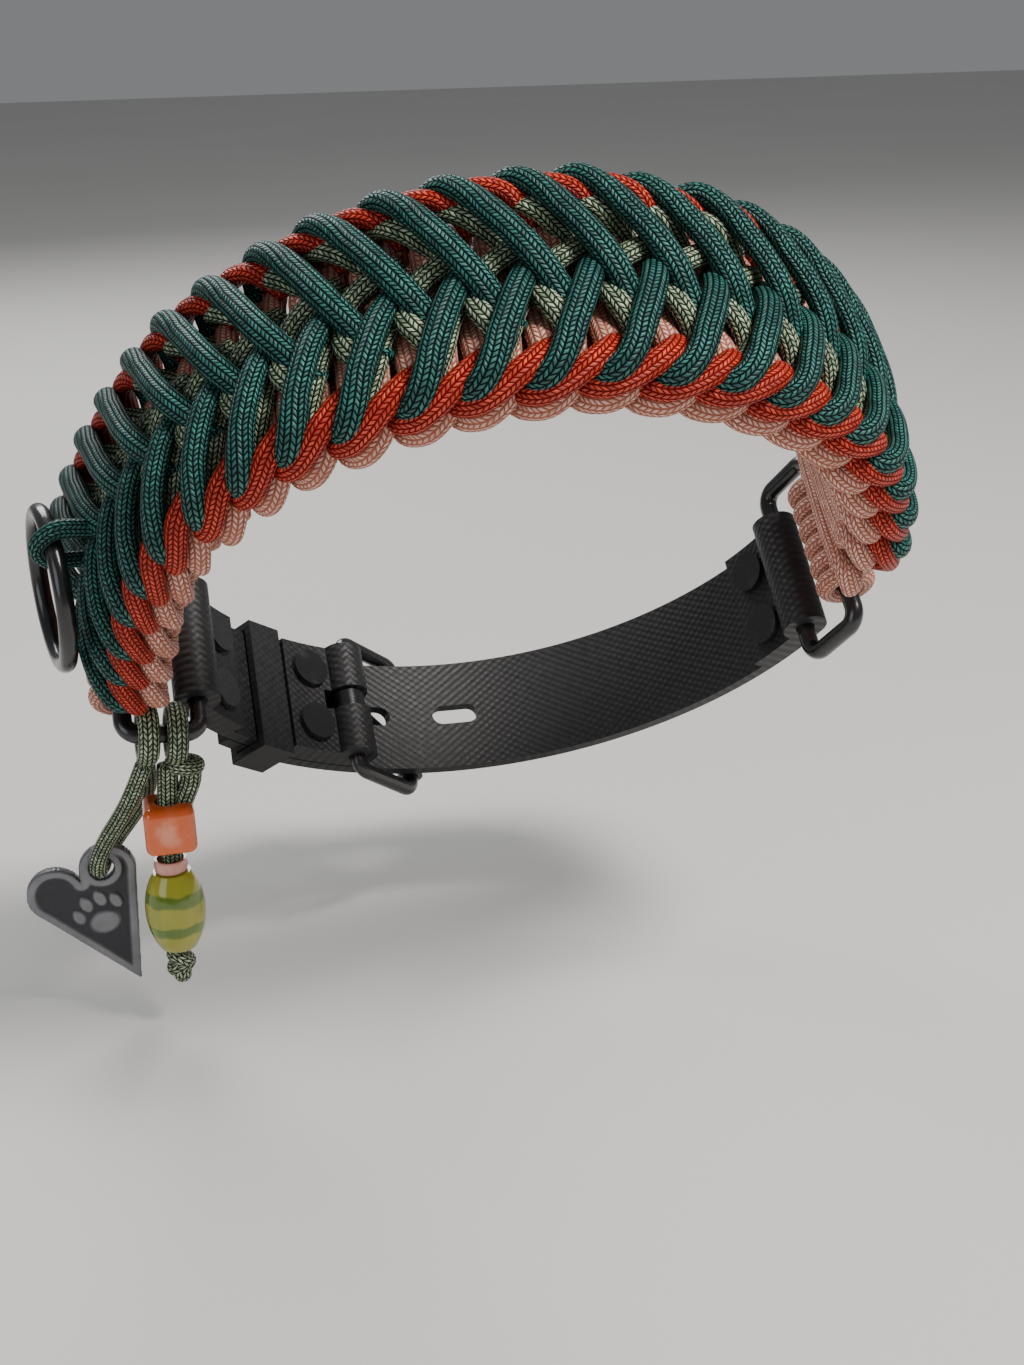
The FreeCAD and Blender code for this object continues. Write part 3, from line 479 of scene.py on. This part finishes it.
def add_piece(name, mesh, body, material=None, replaces=()):
    """Puts a finished mesh in the scene on its body."""
    piece = bpy.data.objects.new(name, mesh)
    bpy.context.scene.collection.objects.link(piece)
    if material is not None:
        mesh.materials.clear()
        mesh.materials.append(material)
    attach(piece, body)
    if replaces:
        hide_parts(*replaces)
    return piece


def joined(name, meshes):
    """One mesh from several, with their UVs."""
    holders = []
    for mesh in meshes:
        holder = bpy.data.objects.new(name, mesh)
        bpy.context.scene.collection.objects.link(holder)
        holders.append(holder)
    if len(holders) > 1:
        with bpy.context.temp_override(active_object=holders[0], selected_editable_objects=holders,
                                       selected_objects=holders, object=holders[0]):
            bpy.ops.object.join()
    mesh = holders[0].data
    bpy.data.objects.remove(holders[0])
    mesh.name = name
    return mesh


# ---------------------------------------------------------------- rows of strands

def wrap_position(tree, place, sizes):
    """Bends flat band coordinates round the neck: an arc, a straight flared left end, and the lean."""
    split = add_node(tree, "ShaderNodeSeparateXYZ", {0: place})
    run, across, height = split.outputs
    arc_run = maths(tree, "MAXIMUM", run, ARC_LEFT * MM)
    angle = maths(tree, "DIVIDE", arc_run, sizes["Seam Radius"])
    sine, cosine = maths(tree, "SINE", angle), maths(tree, "COSINE", angle)
    outward = combine(tree, sine, 0.0, cosine)
    tangent = combine(tree, cosine, 0.0, maths(tree, "MULTIPLY", sine, -1.0))
    straight = maths(tree, "SUBTRACT", run, arc_run)
    share = smooth_step(tree, maths(tree, "MULTIPLY", run, -1.0), -FLARE_START * MM, -LEFT_END * MM)
    flare = maths(tree, "MULTIPLY", share, sizes["Flare"])
    flare_sine, flare_cosine = maths(tree, "SINE", flare), maths(tree, "COSINE", flare)
    from_front = maths(tree, "ADD", across, sizes["Half Width"])
    # The flare turns the flat lay about its front edge: across leans outwards, the normal forwards.
    out_share = maths(tree, "ADD", maths(tree, "MULTIPLY", from_front, flare_sine),
                      maths(tree, "MULTIPLY", height, flare_cosine))
    y_share = maths(tree, "SUBTRACT", maths(tree, "MULTIPLY", from_front, flare_cosine),
                    maths(tree, "MULTIPLY", height, flare_sine))
    y_place = combine(tree, 0.0, maths(tree, "SUBTRACT", y_share, sizes["Half Width"]), 0.0)
    radius = maths(tree, "ADD", out_share, sizes["Seam Radius"])
    bent = vector_maths(tree, "ADD", vector_maths(tree, "SCALE", outward, scale=radius),
                        vector_maths(tree, "SCALE", tangent, scale=straight))
    upright = vector_maths(tree, "ADD", bent, y_place)
    lean = {"Vector": upright, "Angle": sizes["Lean"]}
    return add_node(tree, "ShaderNodeVectorRotate", lean, rotation_type="X_AXIS").outputs[0]


ROW_INPUTS = (
    ("Piece", "NodeSocketObject", None),
    ("Count", "NodeSocketInt", 1),
    ("Start", "NodeSocketVector", None),
    ("Step", "NodeSocketVector", None),
    ("Looseness", "NodeSocketFloat", 0.0),
    ("Seed", "NodeSocketInt", 1),
    ("Finish", "NodeSocketMaterial", None),
    ("Seam Radius", "NodeSocketFloat", SEAM_RADIUS * MM),
    ("Half Width", "NodeSocketFloat", HALF_WIDTH * MM),
    ("Flare", "NodeSocketFloat", FLARE),
    ("Lean", "NodeSocketFloat", LEAN),
)


def row_tree(wrapped):
    """Copies of one piece along a line, each a little out of place, optionally bent round the neck."""
    name = "Row Round Neck" if wrapped else "Straight Row"
    if name in bpy.data.node_groups:
        return bpy.data.node_groups[name]
    tree = bpy.data.node_groups.new(name, "GeometryNodeTree")
    tree.is_modifier = True
    for label, kind, default in ROW_INPUTS:
        socket = tree.interface.new_socket(label, in_out="INPUT", socket_type=kind)
        if default is not None:
            socket.default_value = default
    tree.interface.new_socket("Geometry", in_out="OUTPUT", socket_type="NodeSocketGeometry")
    given = tree.nodes.new("NodeGroupInput").outputs
    line = add_node(tree, "GeometryNodeMeshLine", {"Count": given["Count"], "Start Location": given["Start"],
                                                   "Offset": given["Step"]}, mode="OFFSET")
    loose = given["Looseness"]
    away = maths(tree, "MULTIPLY", loose, -1.0)
    stray = add_node(tree, "FunctionNodeRandomValue", {0: combine(tree, away, away, away),
                     1: combine(tree, loose, loose, loose), "Seed": given["Seed"]}, data_type="FLOAT_VECTOR")
    strewn = add_node(tree, "GeometryNodeSetPosition", {"Geometry": line.outputs[0],
                                                        "Offset": stray.outputs[0]})
    twist = add_node(tree, "FunctionNodeRandomValue", {0: (-1.0, -1.0, -1.0), 1: (1.0, 1.0, 1.0),
                     "Seed": maths(tree, "ADD", given["Seed"], 7.0)}, data_type="FLOAT_VECTOR")
    turn = vector_maths(tree, "SCALE", twist.outputs[0], scale=maths(tree, "MULTIPLY", loose, 90.0))
    piece = add_node(tree, "GeometryNodeObjectInfo", {"Object": given["Piece"]}, transform_space="ORIGINAL")
    copies = add_node(tree, "GeometryNodeInstanceOnPoints", {"Points": strewn.outputs[0],
                      "Instance": piece.outputs["Geometry"], "Rotation": turn})
    real = add_node(tree, "GeometryNodeRealizeInstances", {0: copies.outputs[0]}).outputs[0]
    if wrapped:
        place = tree.nodes.new("GeometryNodeInputPosition").outputs[0]
        real = add_node(tree, "GeometryNodeSetPosition", {
            "Geometry": real, "Position": wrap_position(tree, place, given)}).outputs[0]
    coated = add_node(tree, "GeometryNodeSetMaterial", {"Geometry": real, "Material": given["Finish"]})
    tree.links.new(coated.outputs[0], tree.nodes.new("NodeGroupOutput").inputs[0])
    return tree


def row_mesh(name, unit, count, start, step, finish, looseness=0.0, seed=1, wrapped=True):
    """The plain mesh of a row of copies of a unit mesh."""
    tree = row_tree(wrapped)
    source = bpy.data.objects.new(f"{name} unit", unit)
    host = bpy.data.objects.new(name, bpy.data.meshes.new(name))
    bpy.context.scene.collection.objects.link(source)
    bpy.context.scene.collection.objects.link(host)
    modifier = host.modifiers.new("Row", "NODES")
    modifier.node_group = tree
    values = {"Piece": source, "Count": count, "Start": [value * MM for value in start],
              "Step": [value * MM for value in step], "Looseness": looseness, "Seed": seed, "Finish": finish}
    for socket in tree.interface.items_tree:
        if socket.in_out == "INPUT" and socket.name in values:
            modifier[socket.identifier] = values[socket.name]
    evaluated = host.evaluated_get(bpy.context.evaluated_depsgraph_get())
    mesh = bpy.data.meshes.new_from_object(evaluated)
    bpy.data.objects.remove(host)
    bpy.data.objects.remove(source)
    if not len(mesh.vertices):
        raise RuntimeError(f"{name}: the row came out empty")
    mesh.name = name
    return mesh


# ---------------------------------------------------------------- the weave's strands
# Each strand of the unit stitch: points of (pitches along, mm across, mm outwards).

GREEN_FRONT = ((0.16, -12.6, 2.6), (0.24, -15.4, 3.6), (0.42, -16.9, 5.4), (0.60, -16.3, 7.2),
               (0.78, -13.8, 8.5), (0.94, -10.4, 9.2), (1.11, -6.6, 9.4), (1.28, -2.8, 9.0),
               (1.44, 0.8, 7.6), (1.58, 3.6, 5.8), (1.68, 5.6, 5.0))
GREEN_BACK = ((0.04, 13.6, 2.6), (0.12, 17.0, 3.8), (0.28, 19.0, 5.8), (0.52, 19.2, 8.0),
              (0.74, 17.6, 9.2), (0.98, 14.4, 9.9), (1.24, 9.8, 10.2), (1.47, 5.2, 10.3),
              (1.69, 1.0, 9.6), (1.88, -2.4, 7.9), (2.04, -5.2, 6.2), (2.16, -7.4, 5.4))
SAGE_FRONT = ((0.66, -14.0, 4.2), (0.84, -11.6, 5.2), (1.02, -8.6, 5.9), (1.20, -4.5, 6.0),
              (1.52, 0.0, 6.0), (1.88, 3.0, 6.9), (2.18, 4.9, 7.2), (2.44, 6.6, 6.8), (2.66, 8.4, 5.2))
SAGE_BACK = ((0.40, 16.6, 5.0), (0.60, 15.0, 6.8), (0.80, 13.2, 7.6), (1.06, 11.4, 6.6),
             (1.36, 8.8, 4.7), (1.58, 5.6, 4.3), (1.66, 2.2, 4.8), (1.63, -1.4, 6.6), (1.71, -4.7, 7.4),
             (1.86, -7.2, 6.6), (2.00, -9.4, 4.8))
RED_FRONT = ((1.68, -10.4, 4.2), (1.58, -11.8, 5.3), (1.38, -13.7, 6.2), (1.10, -15.8, 6.3),
             (0.78, -17.3, 5.0), (0.46, -17.8, 3.6), (0.20, -17.0, 2.6), (0.02, -15.4, 1.8))
RED_BACK = ((1.86, 12.4, 5.0), (1.72, 14.2, 6.6), (1.50, 16.4, 7.6), (1.20, 18.0, 7.6),
            (0.88, 18.8, 6.6), (0.58, 18.6, 5.0), (0.32, 17.4, 3.4), (0.12, 15.6, 2.2))
PINK_FRONT = ((-0.30, 14.2, -2.7), (-0.24, 7.0, -3.0), (-0.22, 0.0, -3.0), (-0.20, -7.0, -3.0),
              (-0.18, -12.6, -2.7), (-0.08, -15.6, -1.9), (0.28, -17.4, -0.1), (0.64, -15.8, 1.6),
              (0.72, -12.8, 3.2), (0.76, -9.4, 4.4), (0.80, -5.4, 4.6), (0.82, -1.0, 3.4),
              (0.82, 5.0, 3.6), (0.84, 10.0, 4.2), (0.88, 14.2, 2.6))


def mirrored(points):
    return tuple((along, -across, out) for along, across, out in points)


def strand(points, wide, thick):
    """The mesh of one strand of the unit stitch."""
    flat = np.array([(along * PITCH, across, out) for along, across, out in points])
    line = smooth_line(flat)
    return tube_mesh("strand", line, wide, thick, band_up(line), sides=bpy.context.scene.collar_sizes.sides)


def woven_row(name, rows, finish):
    """Rows of strands round the neck: each row is points, first stitch, count, width, thickness, shift."""
    looseness = bpy.context.scene.collar_sizes.looseness
    meshes = []
    for number, (points, first, count, wide, thick, shift) in enumerate(rows):
        start = (LEFT_END + (first + shift) * PITCH, 0, 0)
        meshes.append(row_mesh(f"{name} {number}", strand(points, wide, thick), count, start, (PITCH, 0, 0),
                               finish_of(finish), looseness, seed=11 + 5 * number))
    return joined(name, meshes)


class PieceOperator:
    bl_options = {"REGISTER", "UNDO"}


class COLLAR_OT_weave(PieceOperator, bpy.types.Operator):
    """Weaves the band: pink mat and scallops, sage and red lacing, dark green chevrons"""
    bl_idname = "collar.weave"
    bl_label = "Woven Band"

    def execute(self, context):
        count = context.scene.collar_sizes.stitches
        pink = woven_row("pink_weave", ((PINK_FRONT, 0, count, 4.5, 3.4, 0.22),
                                        (mirrored(PINK_FRONT), 0, count - 1, 4.5, 3.4, 0.72)), "pink")
        add_piece("pink_weave", pink, "root",
                  replaces=("pink_mat_inner", "pink_mat_outer", "pink_scallops_front", "pink_scallops_back"))
        core = [strand(((0, across, -0.1), (0.5, across, -0.1), (1, across, -0.1)), 4.6, 2.6)
                for across in (-10.4, -5.2, 0, 5.2, 10.4)]
        core_row = row_mesh("core_cords_laid", joined("core unit", core), count, (LEFT_END, 0, 0),
                            (PITCH, 0, 0), finish_of("pink"))
        add_piece("core_cords_laid", core_row, "root", replaces=("core_cords",))
        sage = woven_row("sage_weave", ((SAGE_FRONT, 0, count - 2, 3.8, 2.8, 0.0),
                                        (SAGE_BACK, 0, count - 1, 3.9, 2.9, 0.0)), "sage")
        add_piece("sage_weave", sage, "root", replaces=("sage_lacing",))
        red = woven_row("red_weave", ((RED_FRONT, 0, count - 1, 3.9, 3.3, 0.0),
                                      (RED_BACK, 0, count - 2, 3.9, 3.3, 0.0)), "red")
        add_piece("red_weave", red, "root", replaces=("red_lacing_front", "red_lacing_back"))
        green = woven_row("green_weave", ((GREEN_FRONT, 0, count - 1, 4.0, 3.5, 0.0),
                                          (GREEN_BACK, 0, count - 1, 4.0, 3.5, 0.0)), "green")
        add_piece("green_weave", green, "root",
                  replaces=("green_lacing_front", "green_lacing_back"))
        return {"FINISHED"}


# ---------------------------------------------------------------- end wraps and ring holder

def upright_seam(run):
    """A point of the seam line and its outward direction before the lean, in mm."""
    arc_run = max(run, ARC_LEFT)
    angle = arc_run / SEAM_RADIUS
    outward = Vector((math.sin(angle), 0, math.cos(angle)))
    tangent = Vector((math.cos(angle), 0, -math.sin(angle)))
    return outward * SEAM_RADIUS + tangent * (run - arc_run), outward


def leaned(vector):
    return Matrix.Rotation(LEAN, 3, "X") @ Vector(vector)


def turn_ring(axis, radius, wide, thick, out=None, steps=28):
    """One closed turn of cord round a bar with this axis, in mm."""
    axis = Vector(axis).normalized()
    first = Vector(out) if out else Vector((0, 0, 1))
    first = (first - axis * first.dot(axis)).normalized()
    second = axis.cross(first)
    turns = np.linspace(0, 2 * math.pi, steps, endpoint=False)
    line = np.array([first * (radius * math.cos(t)) + second * (radius * math.sin(t)) for t in turns])
    return tube_mesh("turn", line, wide, thick, line / np.linalg.norm(line, axis=1)[:, None], closed=True)


class COLLAR_OT_end_wraps(PieceOperator, bpy.types.Operator):
    """Wraps the band's cord ends round the bars of the end loops and ties on the leash ring"""
    bl_idname = "collar.end_wraps"
    bl_label = "End Wraps and Ring Holder"

    def execute(self, context):
        axis = leaned((0, 1, 0))
        for side, name in ((-1, "left"), (1, "right")):
            end = LEFT_END if side < 0 else LEFT_END + STITCHES * PITCH
            point, outward = upright_seam(end + side * (WRAP_RADIUS + WRAP_REACH))
            centre = leaned(point + outward * LOOP_SEAT)
            unit = turn_ring(axis, WRAP_RADIUS, 4.1, 3.8, out=leaned(outward))
            start = centre - axis * (WRAP_STEP * (WRAP_TURNS - 1) / 2)
            mesh = row_mesh(f"end_wrap_{name}", unit, WRAP_TURNS, start, axis * WRAP_STEP, finish_of("pink"),
                            0.00005, seed=3, wrapped=False)
            add_piece(f"end_wrap_{name}", mesh, "root", replaces=(f"end_wraps_{name}",))
        run = LEFT_END + 3.2 * PITCH
        low, top = 7.4, 17.9
        points = [(run - 3.5, 0, low), (run - 3.6, 0, 12.0), (run - 3.1, 0, 15.8), (run, 0, top),
                  (run + 3.1, 0, 15.8), (run + 3.6, 0, 12.0), (run + 3.5, 0, low)]
        line = smooth_line(points, 0.7)
        unit = tube_mesh("holder", line, 3.2, 2.8, (0, 1, 0))
        mesh = row_mesh("ring_holder_cord", unit, 1, (0, 0, 0), (0, 0, 0), finish_of("green"))
        add_piece("ring_holder_cord", mesh, "root", replaces=("ring_holder",))
        return {"FINISHED"}


# ---------------------------------------------------------------- charms

def placed(origin, rows):
    """Points at these offsets from the origin."""
    return [origin + Vector(row) for row in rows]


def cord_piece(name, points, body, diameter, replaces):
    """A free cord: a braided tube along the spline of its route."""
    line = spline_line(points)
    mesh = tube_mesh(name, line, diameter, diameter, steady_ups(line, (0, -1, 0)))
    piece = add_piece(name, mesh, body, finish_of("sage"), replaces)
    length = float(np.linalg.norm(np.diff(line, axis=0), axis=1).sum()) * MM
    return piece, line * MM, length


# Offsets from the bar that each cord hangs on, in mm.
LANYARD_ROUTE = ((-2.1, -0.1, -6.15), (-2.5, -0.2, -10.65), (-2.8, 0, -15.15), (-2.9, 0.1, -24.15),
                 (-3.3, 0, -32.15), (-3.4, 0.1, -44.4))
LANYARD_SHORT = ((2.1, 0.1, -5.6), (2.2, 0.0, -8.6), (1.2, 0.0, -11.4), (-0.4, 0.1, -14.6))
TAG_ROUTE = ((-1.2, -1.4, -5.6), (-3.6, -1.2, -11.0), (-6.4, 0.8, -16.5), (-9.4, 3.2, -21.6),
             (-11.6, 4.6, -26.2), (-12.0, 6.2, -29.5), (-11.5, 8.6, -30.4), (-10.6, 11.2, -29.1),
             (-8.0, 12.6, -26.0), (-4.6, 11.6, -21.4), (-1.8, 8.8, -16.4), (-0.6, 5.0, -11.2),
             (-0.8, 1.6, -5.6))


KNOT = Vector((-3.4, 0, -47.8))
LANYARD_WRAP = Vector((1.0, 0, -6.4))
TAG_CORD_SHARE = 0.85


class COLLAR_OT_charm_cords(PieceOperator, bpy.types.Operator):
    """Hangs the lanyard cord and the tag cord, with their hitches and the stopper knot"""
    bl_idname = "collar.charm_cords"
    bl_label = "Charm Cords"

    def execute(self, context):
        diameter = context.scene.collar_sizes.cord / MM
        for name, bar, body in (("lanyard_hitch", LANYARD_BAR, "lanyard"),
                                ("tag_hitch", TAG_BAR, "tag_strands")):
            turns = [turn_ring(BAR_AXIS, 4.05, 4.0, 3.7)]
            if body == "lanyard":
                wrap = turn_ring((0.16, 0.12, 1), 2.5, 3.0, 2.6)
                wrap.transform(Matrix.Translation(LANYARD_WRAP * MM))
                turns.append(wrap)
            mesh = joined(name + "_turns", turns)
            mesh.transform(Matrix.Translation(bar * MM))
            add_piece(name + "_turns", mesh, body, finish_of("sage"), (name,))
        short = spline_line(placed(LANYARD_BAR, LANYARD_SHORT))
        mesh = tube_mesh("lanyard_short", short, diameter, diameter, steady_ups(short, (0, -1, 0)))
        add_piece("lanyard_short", mesh, "lanyard", finish_of("sage"), ("lanyard_strand",))
        knot = LANYARD_BAR + KNOT
        turns = []
        for tilt, lift in ((25, 0.9), (-40, -0.6), (80, -1.4)):
            axis = Matrix.Rotation(math.radians(tilt), 3, "Y") @ Vector((0.25, 0.15, 1))
            turn = turn_ring(axis, 1.6, 3.2, 2.8)
            turn.transform(Matrix.Translation((knot + Vector((0, 0, lift))) * MM))
            turns.append(turn)
        add_piece("stopper_knot_tied", joined("stopper_knot_tied", turns), "lanyard",
                  finish_of("sage"), ("stopper_knot",))
        route = placed(LANYARD_BAR, LANYARD_ROUTE)
        piece, line, length = cord_piece("lanyard_line", route, "lanyard", diameter, ("lanyard_cord",))
        route = placed(TAG_BAR, TAG_ROUTE)
        thinner = diameter * TAG_CORD_SHARE
        piece, line, length = cord_piece("tag_line", route, "tag_strands", thinner,
                                         ("tag_cord_left", "tag_cord_right", "tag_cord_loop"))
        return {"FINISHED"}


class COLLAR_OT_beads(PieceOperator, bpy.types.Operator):
    """Glazes the cube and spacer beads and gives the oval bead its banded glass"""
    bl_idname = "collar.beads"
    bl_label = "Beads"

    def execute(self, context):
        # The body colour is the bead's pale centre, a painted highlight; the deep colour is the glaze's own
        # colour.
        for node, finish, body, deep, highlight_reach in (
                ("orange_bead", "orange glaze with painted highlight", (0.92, 0.34, 0.20), (0.76, 0.12, 0.015), 5.0),
                ("spacer_bead", "pink glaze with painted highlight", (0.78, 0.42, 0.34), (0.62, 0.27, 0.22), 3.0)):
            coat(node, glazed(finish, body, deep, node_centre(node), highlight_reach * MM))
        coat("glass_bead", banded_glass("banded glass", node_centre("glass_bead")))
        return {"FINISHED"}


def coat(node, material):
    """Gives a CAD piece its finish."""
    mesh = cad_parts[node].data
    mesh.materials.clear()
    mesh.materials.append(material)


class COLLAR_OT_metalwork(PieceOperator, bpy.types.Operator):
    """Coats the end loops, leash ring, buckle and rivets, and the straps"""
    bl_idname = "collar.metalwork"
    bl_label = "Metalwork and Straps"

    def execute(self, context):
        for node in ("end_loop_left", "end_loop_right", "leash_ring", "buckle_frame", "buckle_roller",
                     "buckle_tongue", "left_rivets", "right_rivets", "buckle_rivets"):
            coat(node, finish_of("enamel"))
        for node in ("buckled_strap", "holed_strap", "strap_keeper"):
            coat(node, finish_of("webbing"))
        return {"FINISHED"}


# ---------------------------------------------------------------- heart tag

def heart_outline(steps=72):
    """Points of the heart in mm, in its own plane."""
    lobe, tip = HEART_LOBE, HEART_TIP
    far, low = lobe * math.cos(HEART_LEAVE), -lobe * math.sin(HEART_LEAVE)
    right = [(t * (lobe + far), tip + t * (low - tip)) for t in np.linspace(0, 1, steps // 4, endpoint=False)]
    turns = np.linspace(-HEART_LEAVE, math.pi, steps // 2, endpoint=False)
    half = right + [(lobe + lobe * math.cos(turn), lobe * math.sin(turn)) for turn in turns]
    left = [(-x, y) for x, y in reversed(half[1:])]
    return np.array(half + [(0.0, 0.0)] + left)


def depth_inside(points, outline):
    """How far each point lies inside a closed outline, and negative outside it."""
    tiny = 1e-12
    closed = np.vstack([outline, outline[:1]])
    best = np.full(len(points), np.inf)
    inside = np.zeros(len(points), bool)
    for a, b in zip(closed[:-1], closed[1:]):
        d = b - a
        t = np.clip(((points - a) @ d) / max(d @ d, tiny), 0, 1)
        best = np.minimum(best, np.linalg.norm(points - a - t[:, None] * d, axis=1))
        crosses = (a[1] > points[:, 1]) != (b[1] > points[:, 1])
        at = a[0] + (points[:, 1] - a[1]) * d[0] / (d[1] if abs(d[1]) > tiny else tiny)
        inside ^= crosses & (points[:, 0] < at)
    return np.where(inside, best, -best)


def heart_relief():
    """A grid over the heart: corners, depth inside the edge and hole, height, relief, and its size."""
    xs = np.arange(-HEART_WIDTH / 2 - 0.4, HEART_WIDTH / 2 + 0.5, HEART_GRID)
    ys = np.arange(HEART_TIP - 0.3, HEART_LOBE + 0.3, HEART_GRID)
    corners = np.array([(x, y) for y in ys for x in xs])
    depth = depth_inside(corners, heart_outline())
    depth = np.minimum(depth, np.linalg.norm(corners - np.array(HEART_HOLE), axis=1) - HOLE_RADIUS)
    rim = np.clip((RIM_WIDTH - depth) / RIM_SLOPE, 0, 1)
    paw = np.zeros(len(corners))
    for x, y, wide, tall in PAW_PADS:
        away = np.hypot((corners[:, 0] - x) / wide, (corners[:, 1] - y) / tall)
        paw = np.maximum(paw, np.clip((PAD_EDGE - away) / PAD_SLOPE, 0, 1))
    relief = np.maximum(rim, paw * (depth > RIM_WIDTH))
    edge = 1 - np.clip(depth / EDGE_ROUND, 0, 1)
    height = HALF_THICK - RELIEF_HEIGHT * (1 - relief) - RELIEF_HEIGHT * (1 - np.sqrt(1 - edge ** 2))
    return corners, depth, height, relief, len(xs), len(ys)


def heart_plate():
    """A cast heart with a raised rim, a sunk field and a raised paw, pierced by the cord's hole."""
    corners, depth, height, relief, wide, tall = heart_relief()
    index = np.arange(wide * tall).reshape(tall, wide)
    cells = []
    for j in range(tall - 1):
        for i in range(wide - 1):
            cell = (index[j, i], index[j, i + 1], index[j + 1, i + 1], index[j + 1, i])
            if all(depth[c] > 0 for c in cell):
                cells.append(cell)
    used = sorted({c for cell in cells for c in cell})
    number = {c: k for k, c in enumerate(used)}
    count = len(used)
    front = [(corners[c][0], -height[c], corners[c][1]) for c in used]
    back = [(corners[c][0], height[c] if depth[c] < BACK_RIM else BACK_FIELD, corners[c][1]) for c in used]
    faces = [tuple(number[c] for c in cell) for cell in cells]
    edges = {(a, b) for face in faces for a, b in zip(face, face[1:] + face[:1])}
    walls = [(b, a, a + count, b + count) for a, b in sorted(edges) if (b, a) not in edges]
    backs = [tuple(v + count for v in reversed(face)) for face in faces]
    mesh = bpy.data.meshes.new("heart_tag_cast")
    mesh.from_pydata([tuple(value * MM for value in v) for v in front + back], [], faces + backs + walls)
    values = mesh.attributes.new("relief", "FLOAT", "POINT")
    back_relief = np.full(count, 0.45)
    values.data.foreach_set("value", np.concatenate([relief[used], back_relief]).astype(np.float32))
    mesh.polygons.foreach_set("use_smooth", [True] * len(mesh.polygons))
    mesh.update()
    return mesh


class COLLAR_OT_heart_tag(PieceOperator, bpy.types.Operator):
    """Casts the heart tag with its rim and a plain paw in relief"""
    bl_idname = "collar.heart_tag"
    bl_label = "Heart Tag"

    def execute(self, context):
        mesh = heart_plate()
        turn = Matrix.Rotation(-HEART_TILT, 4, "Y")
        hole = Vector((HEART_HOLE[0], 0, HEART_HOLE[1]))
        place = Matrix.Translation((TAG_HOLE - turn.to_3x3() @ hole) * MM) @ turn
        mesh.transform(place)
        add_piece("heart_tag_cast", mesh, "heart_tag", finish_of("pewter"), ("heart_tag",))
        return {"FINISHED"}


# ---------------------------------------------------------------- stage

def area_light(name, place, aim, power, size, colour=(1, 1, 1)):
    data = bpy.data.lights.new(name, "AREA")
    data.energy = power
    data.size = size
    data.color = colour
    light = bpy.data.objects.new(name, data)
    light.location = place
    light.rotation_euler = (Vector(aim) - Vector(place)).to_track_quat("-Z", "Y").to_euler()
    bpy.context.scene.collection.objects.link(light)


def add_camera(scene):
    data = bpy.data.cameras.new("camera")
    data.lens = LENS
    data.sensor_width = 36
    data.clip_start = 0.01
    data.clip_end = 20
    camera = bpy.data.objects.new("camera", data)
    turn = Euler([math.radians(angle) for angle in CAMERA_TURN])
    camera.matrix_world = Matrix.Translation(CAMERA_PLACE * MM) @ turn.to_matrix().to_4x4()
    scene.collection.objects.link(camera)
    scene.camera = camera


def floor_mesh():
    half, level = FLOOR_HALF, FLOOR_LEVEL
    mesh = bpy.data.meshes.new("floor")
    mesh.from_pydata([(-half, -half, level), (half, -half, level), (half, half, level), (-half, half, level)],
                     [], [(0, 1, 2, 3)])
    mesh.materials.append(pale_floor("pale floor"))
    return mesh


class COLLAR_OT_stage(PieceOperator, bpy.types.Operator):
    """Sets up the camera, the pale floor and the soft studio lights"""
    bl_idname = "collar.stage"
    bl_label = "Stage"

    def execute(self, context):
        add_camera(context.scene)
        floor = bpy.data.objects.new("floor", floor_mesh())
        context.scene.collection.objects.link(floor)
        aim = (0, 0, 0)
        area_light("key", (0.42, -0.38, 0.80), aim, 13, 0.28, (1.0, 0.97, 0.93))
        area_light("fill", (-0.8, -0.6, 0.30), aim, 2.2, 0.6, (0.92, 0.96, 1.0))
        area_light("rim", (-0.2, 0.8, 0.6), aim, 6, 0.5)
        world = bpy.data.worlds.new("studio")
        world.use_nodes = True
        background = world.node_tree.nodes["Background"]
        background.inputs["Color"].default_value = (0.80, 0.82, 0.84, 1)
        background.inputs["Strength"].default_value = 0.26
        context.scene.world = world
        return {"FINISHED"}


# ---------------------------------------------------------------- panel and registration

OPERATORS = (COLLAR_OT_stage, COLLAR_OT_charm_cords, COLLAR_OT_weave, COLLAR_OT_end_wraps,
             COLLAR_OT_metalwork, COLLAR_OT_beads, COLLAR_OT_heart_tag)


class COLLAR_PT_panel(bpy.types.Panel):
    """Lists the collar's settings and pieces"""
    bl_idname = "COLLAR_PT_panel"
    bl_label = "Woven Collar"
    bl_space_type = "VIEW_3D"
    bl_region_type = "UI"
    bl_category = "Collar"

    def draw(self, context):
        layout = self.layout
        for group in (context.scene.collar_sizes, context.scene.collar_colours):
            column = layout.column()
            for name in group.bl_rna.properties.keys():
                if name not in ("rna_type", "name"):
                    column.prop(group, name)
        for operator in OPERATORS:
            layout.operator(operator.bl_idname)


CLASSES = (CollarSizes, CollarColours, *OPERATORS, COLLAR_PT_panel)


def register():
    for item in CLASSES:
        bpy.utils.register_class(item)
    bpy.types.Scene.collar_sizes = PointerProperty(type=CollarSizes)
    bpy.types.Scene.collar_colours = PointerProperty(type=CollarColours)


def unregister():
    del bpy.types.Scene.collar_colours
    del bpy.types.Scene.collar_sizes
    for item in reversed(CLASSES):
        bpy.utils.unregister_class(item)


def main():
    register()
    for operator in OPERATORS:
        group, name = operator.bl_idname.split(".")
        getattr(getattr(bpy.ops, group), name)()


if __name__ == "__main__":
    main()
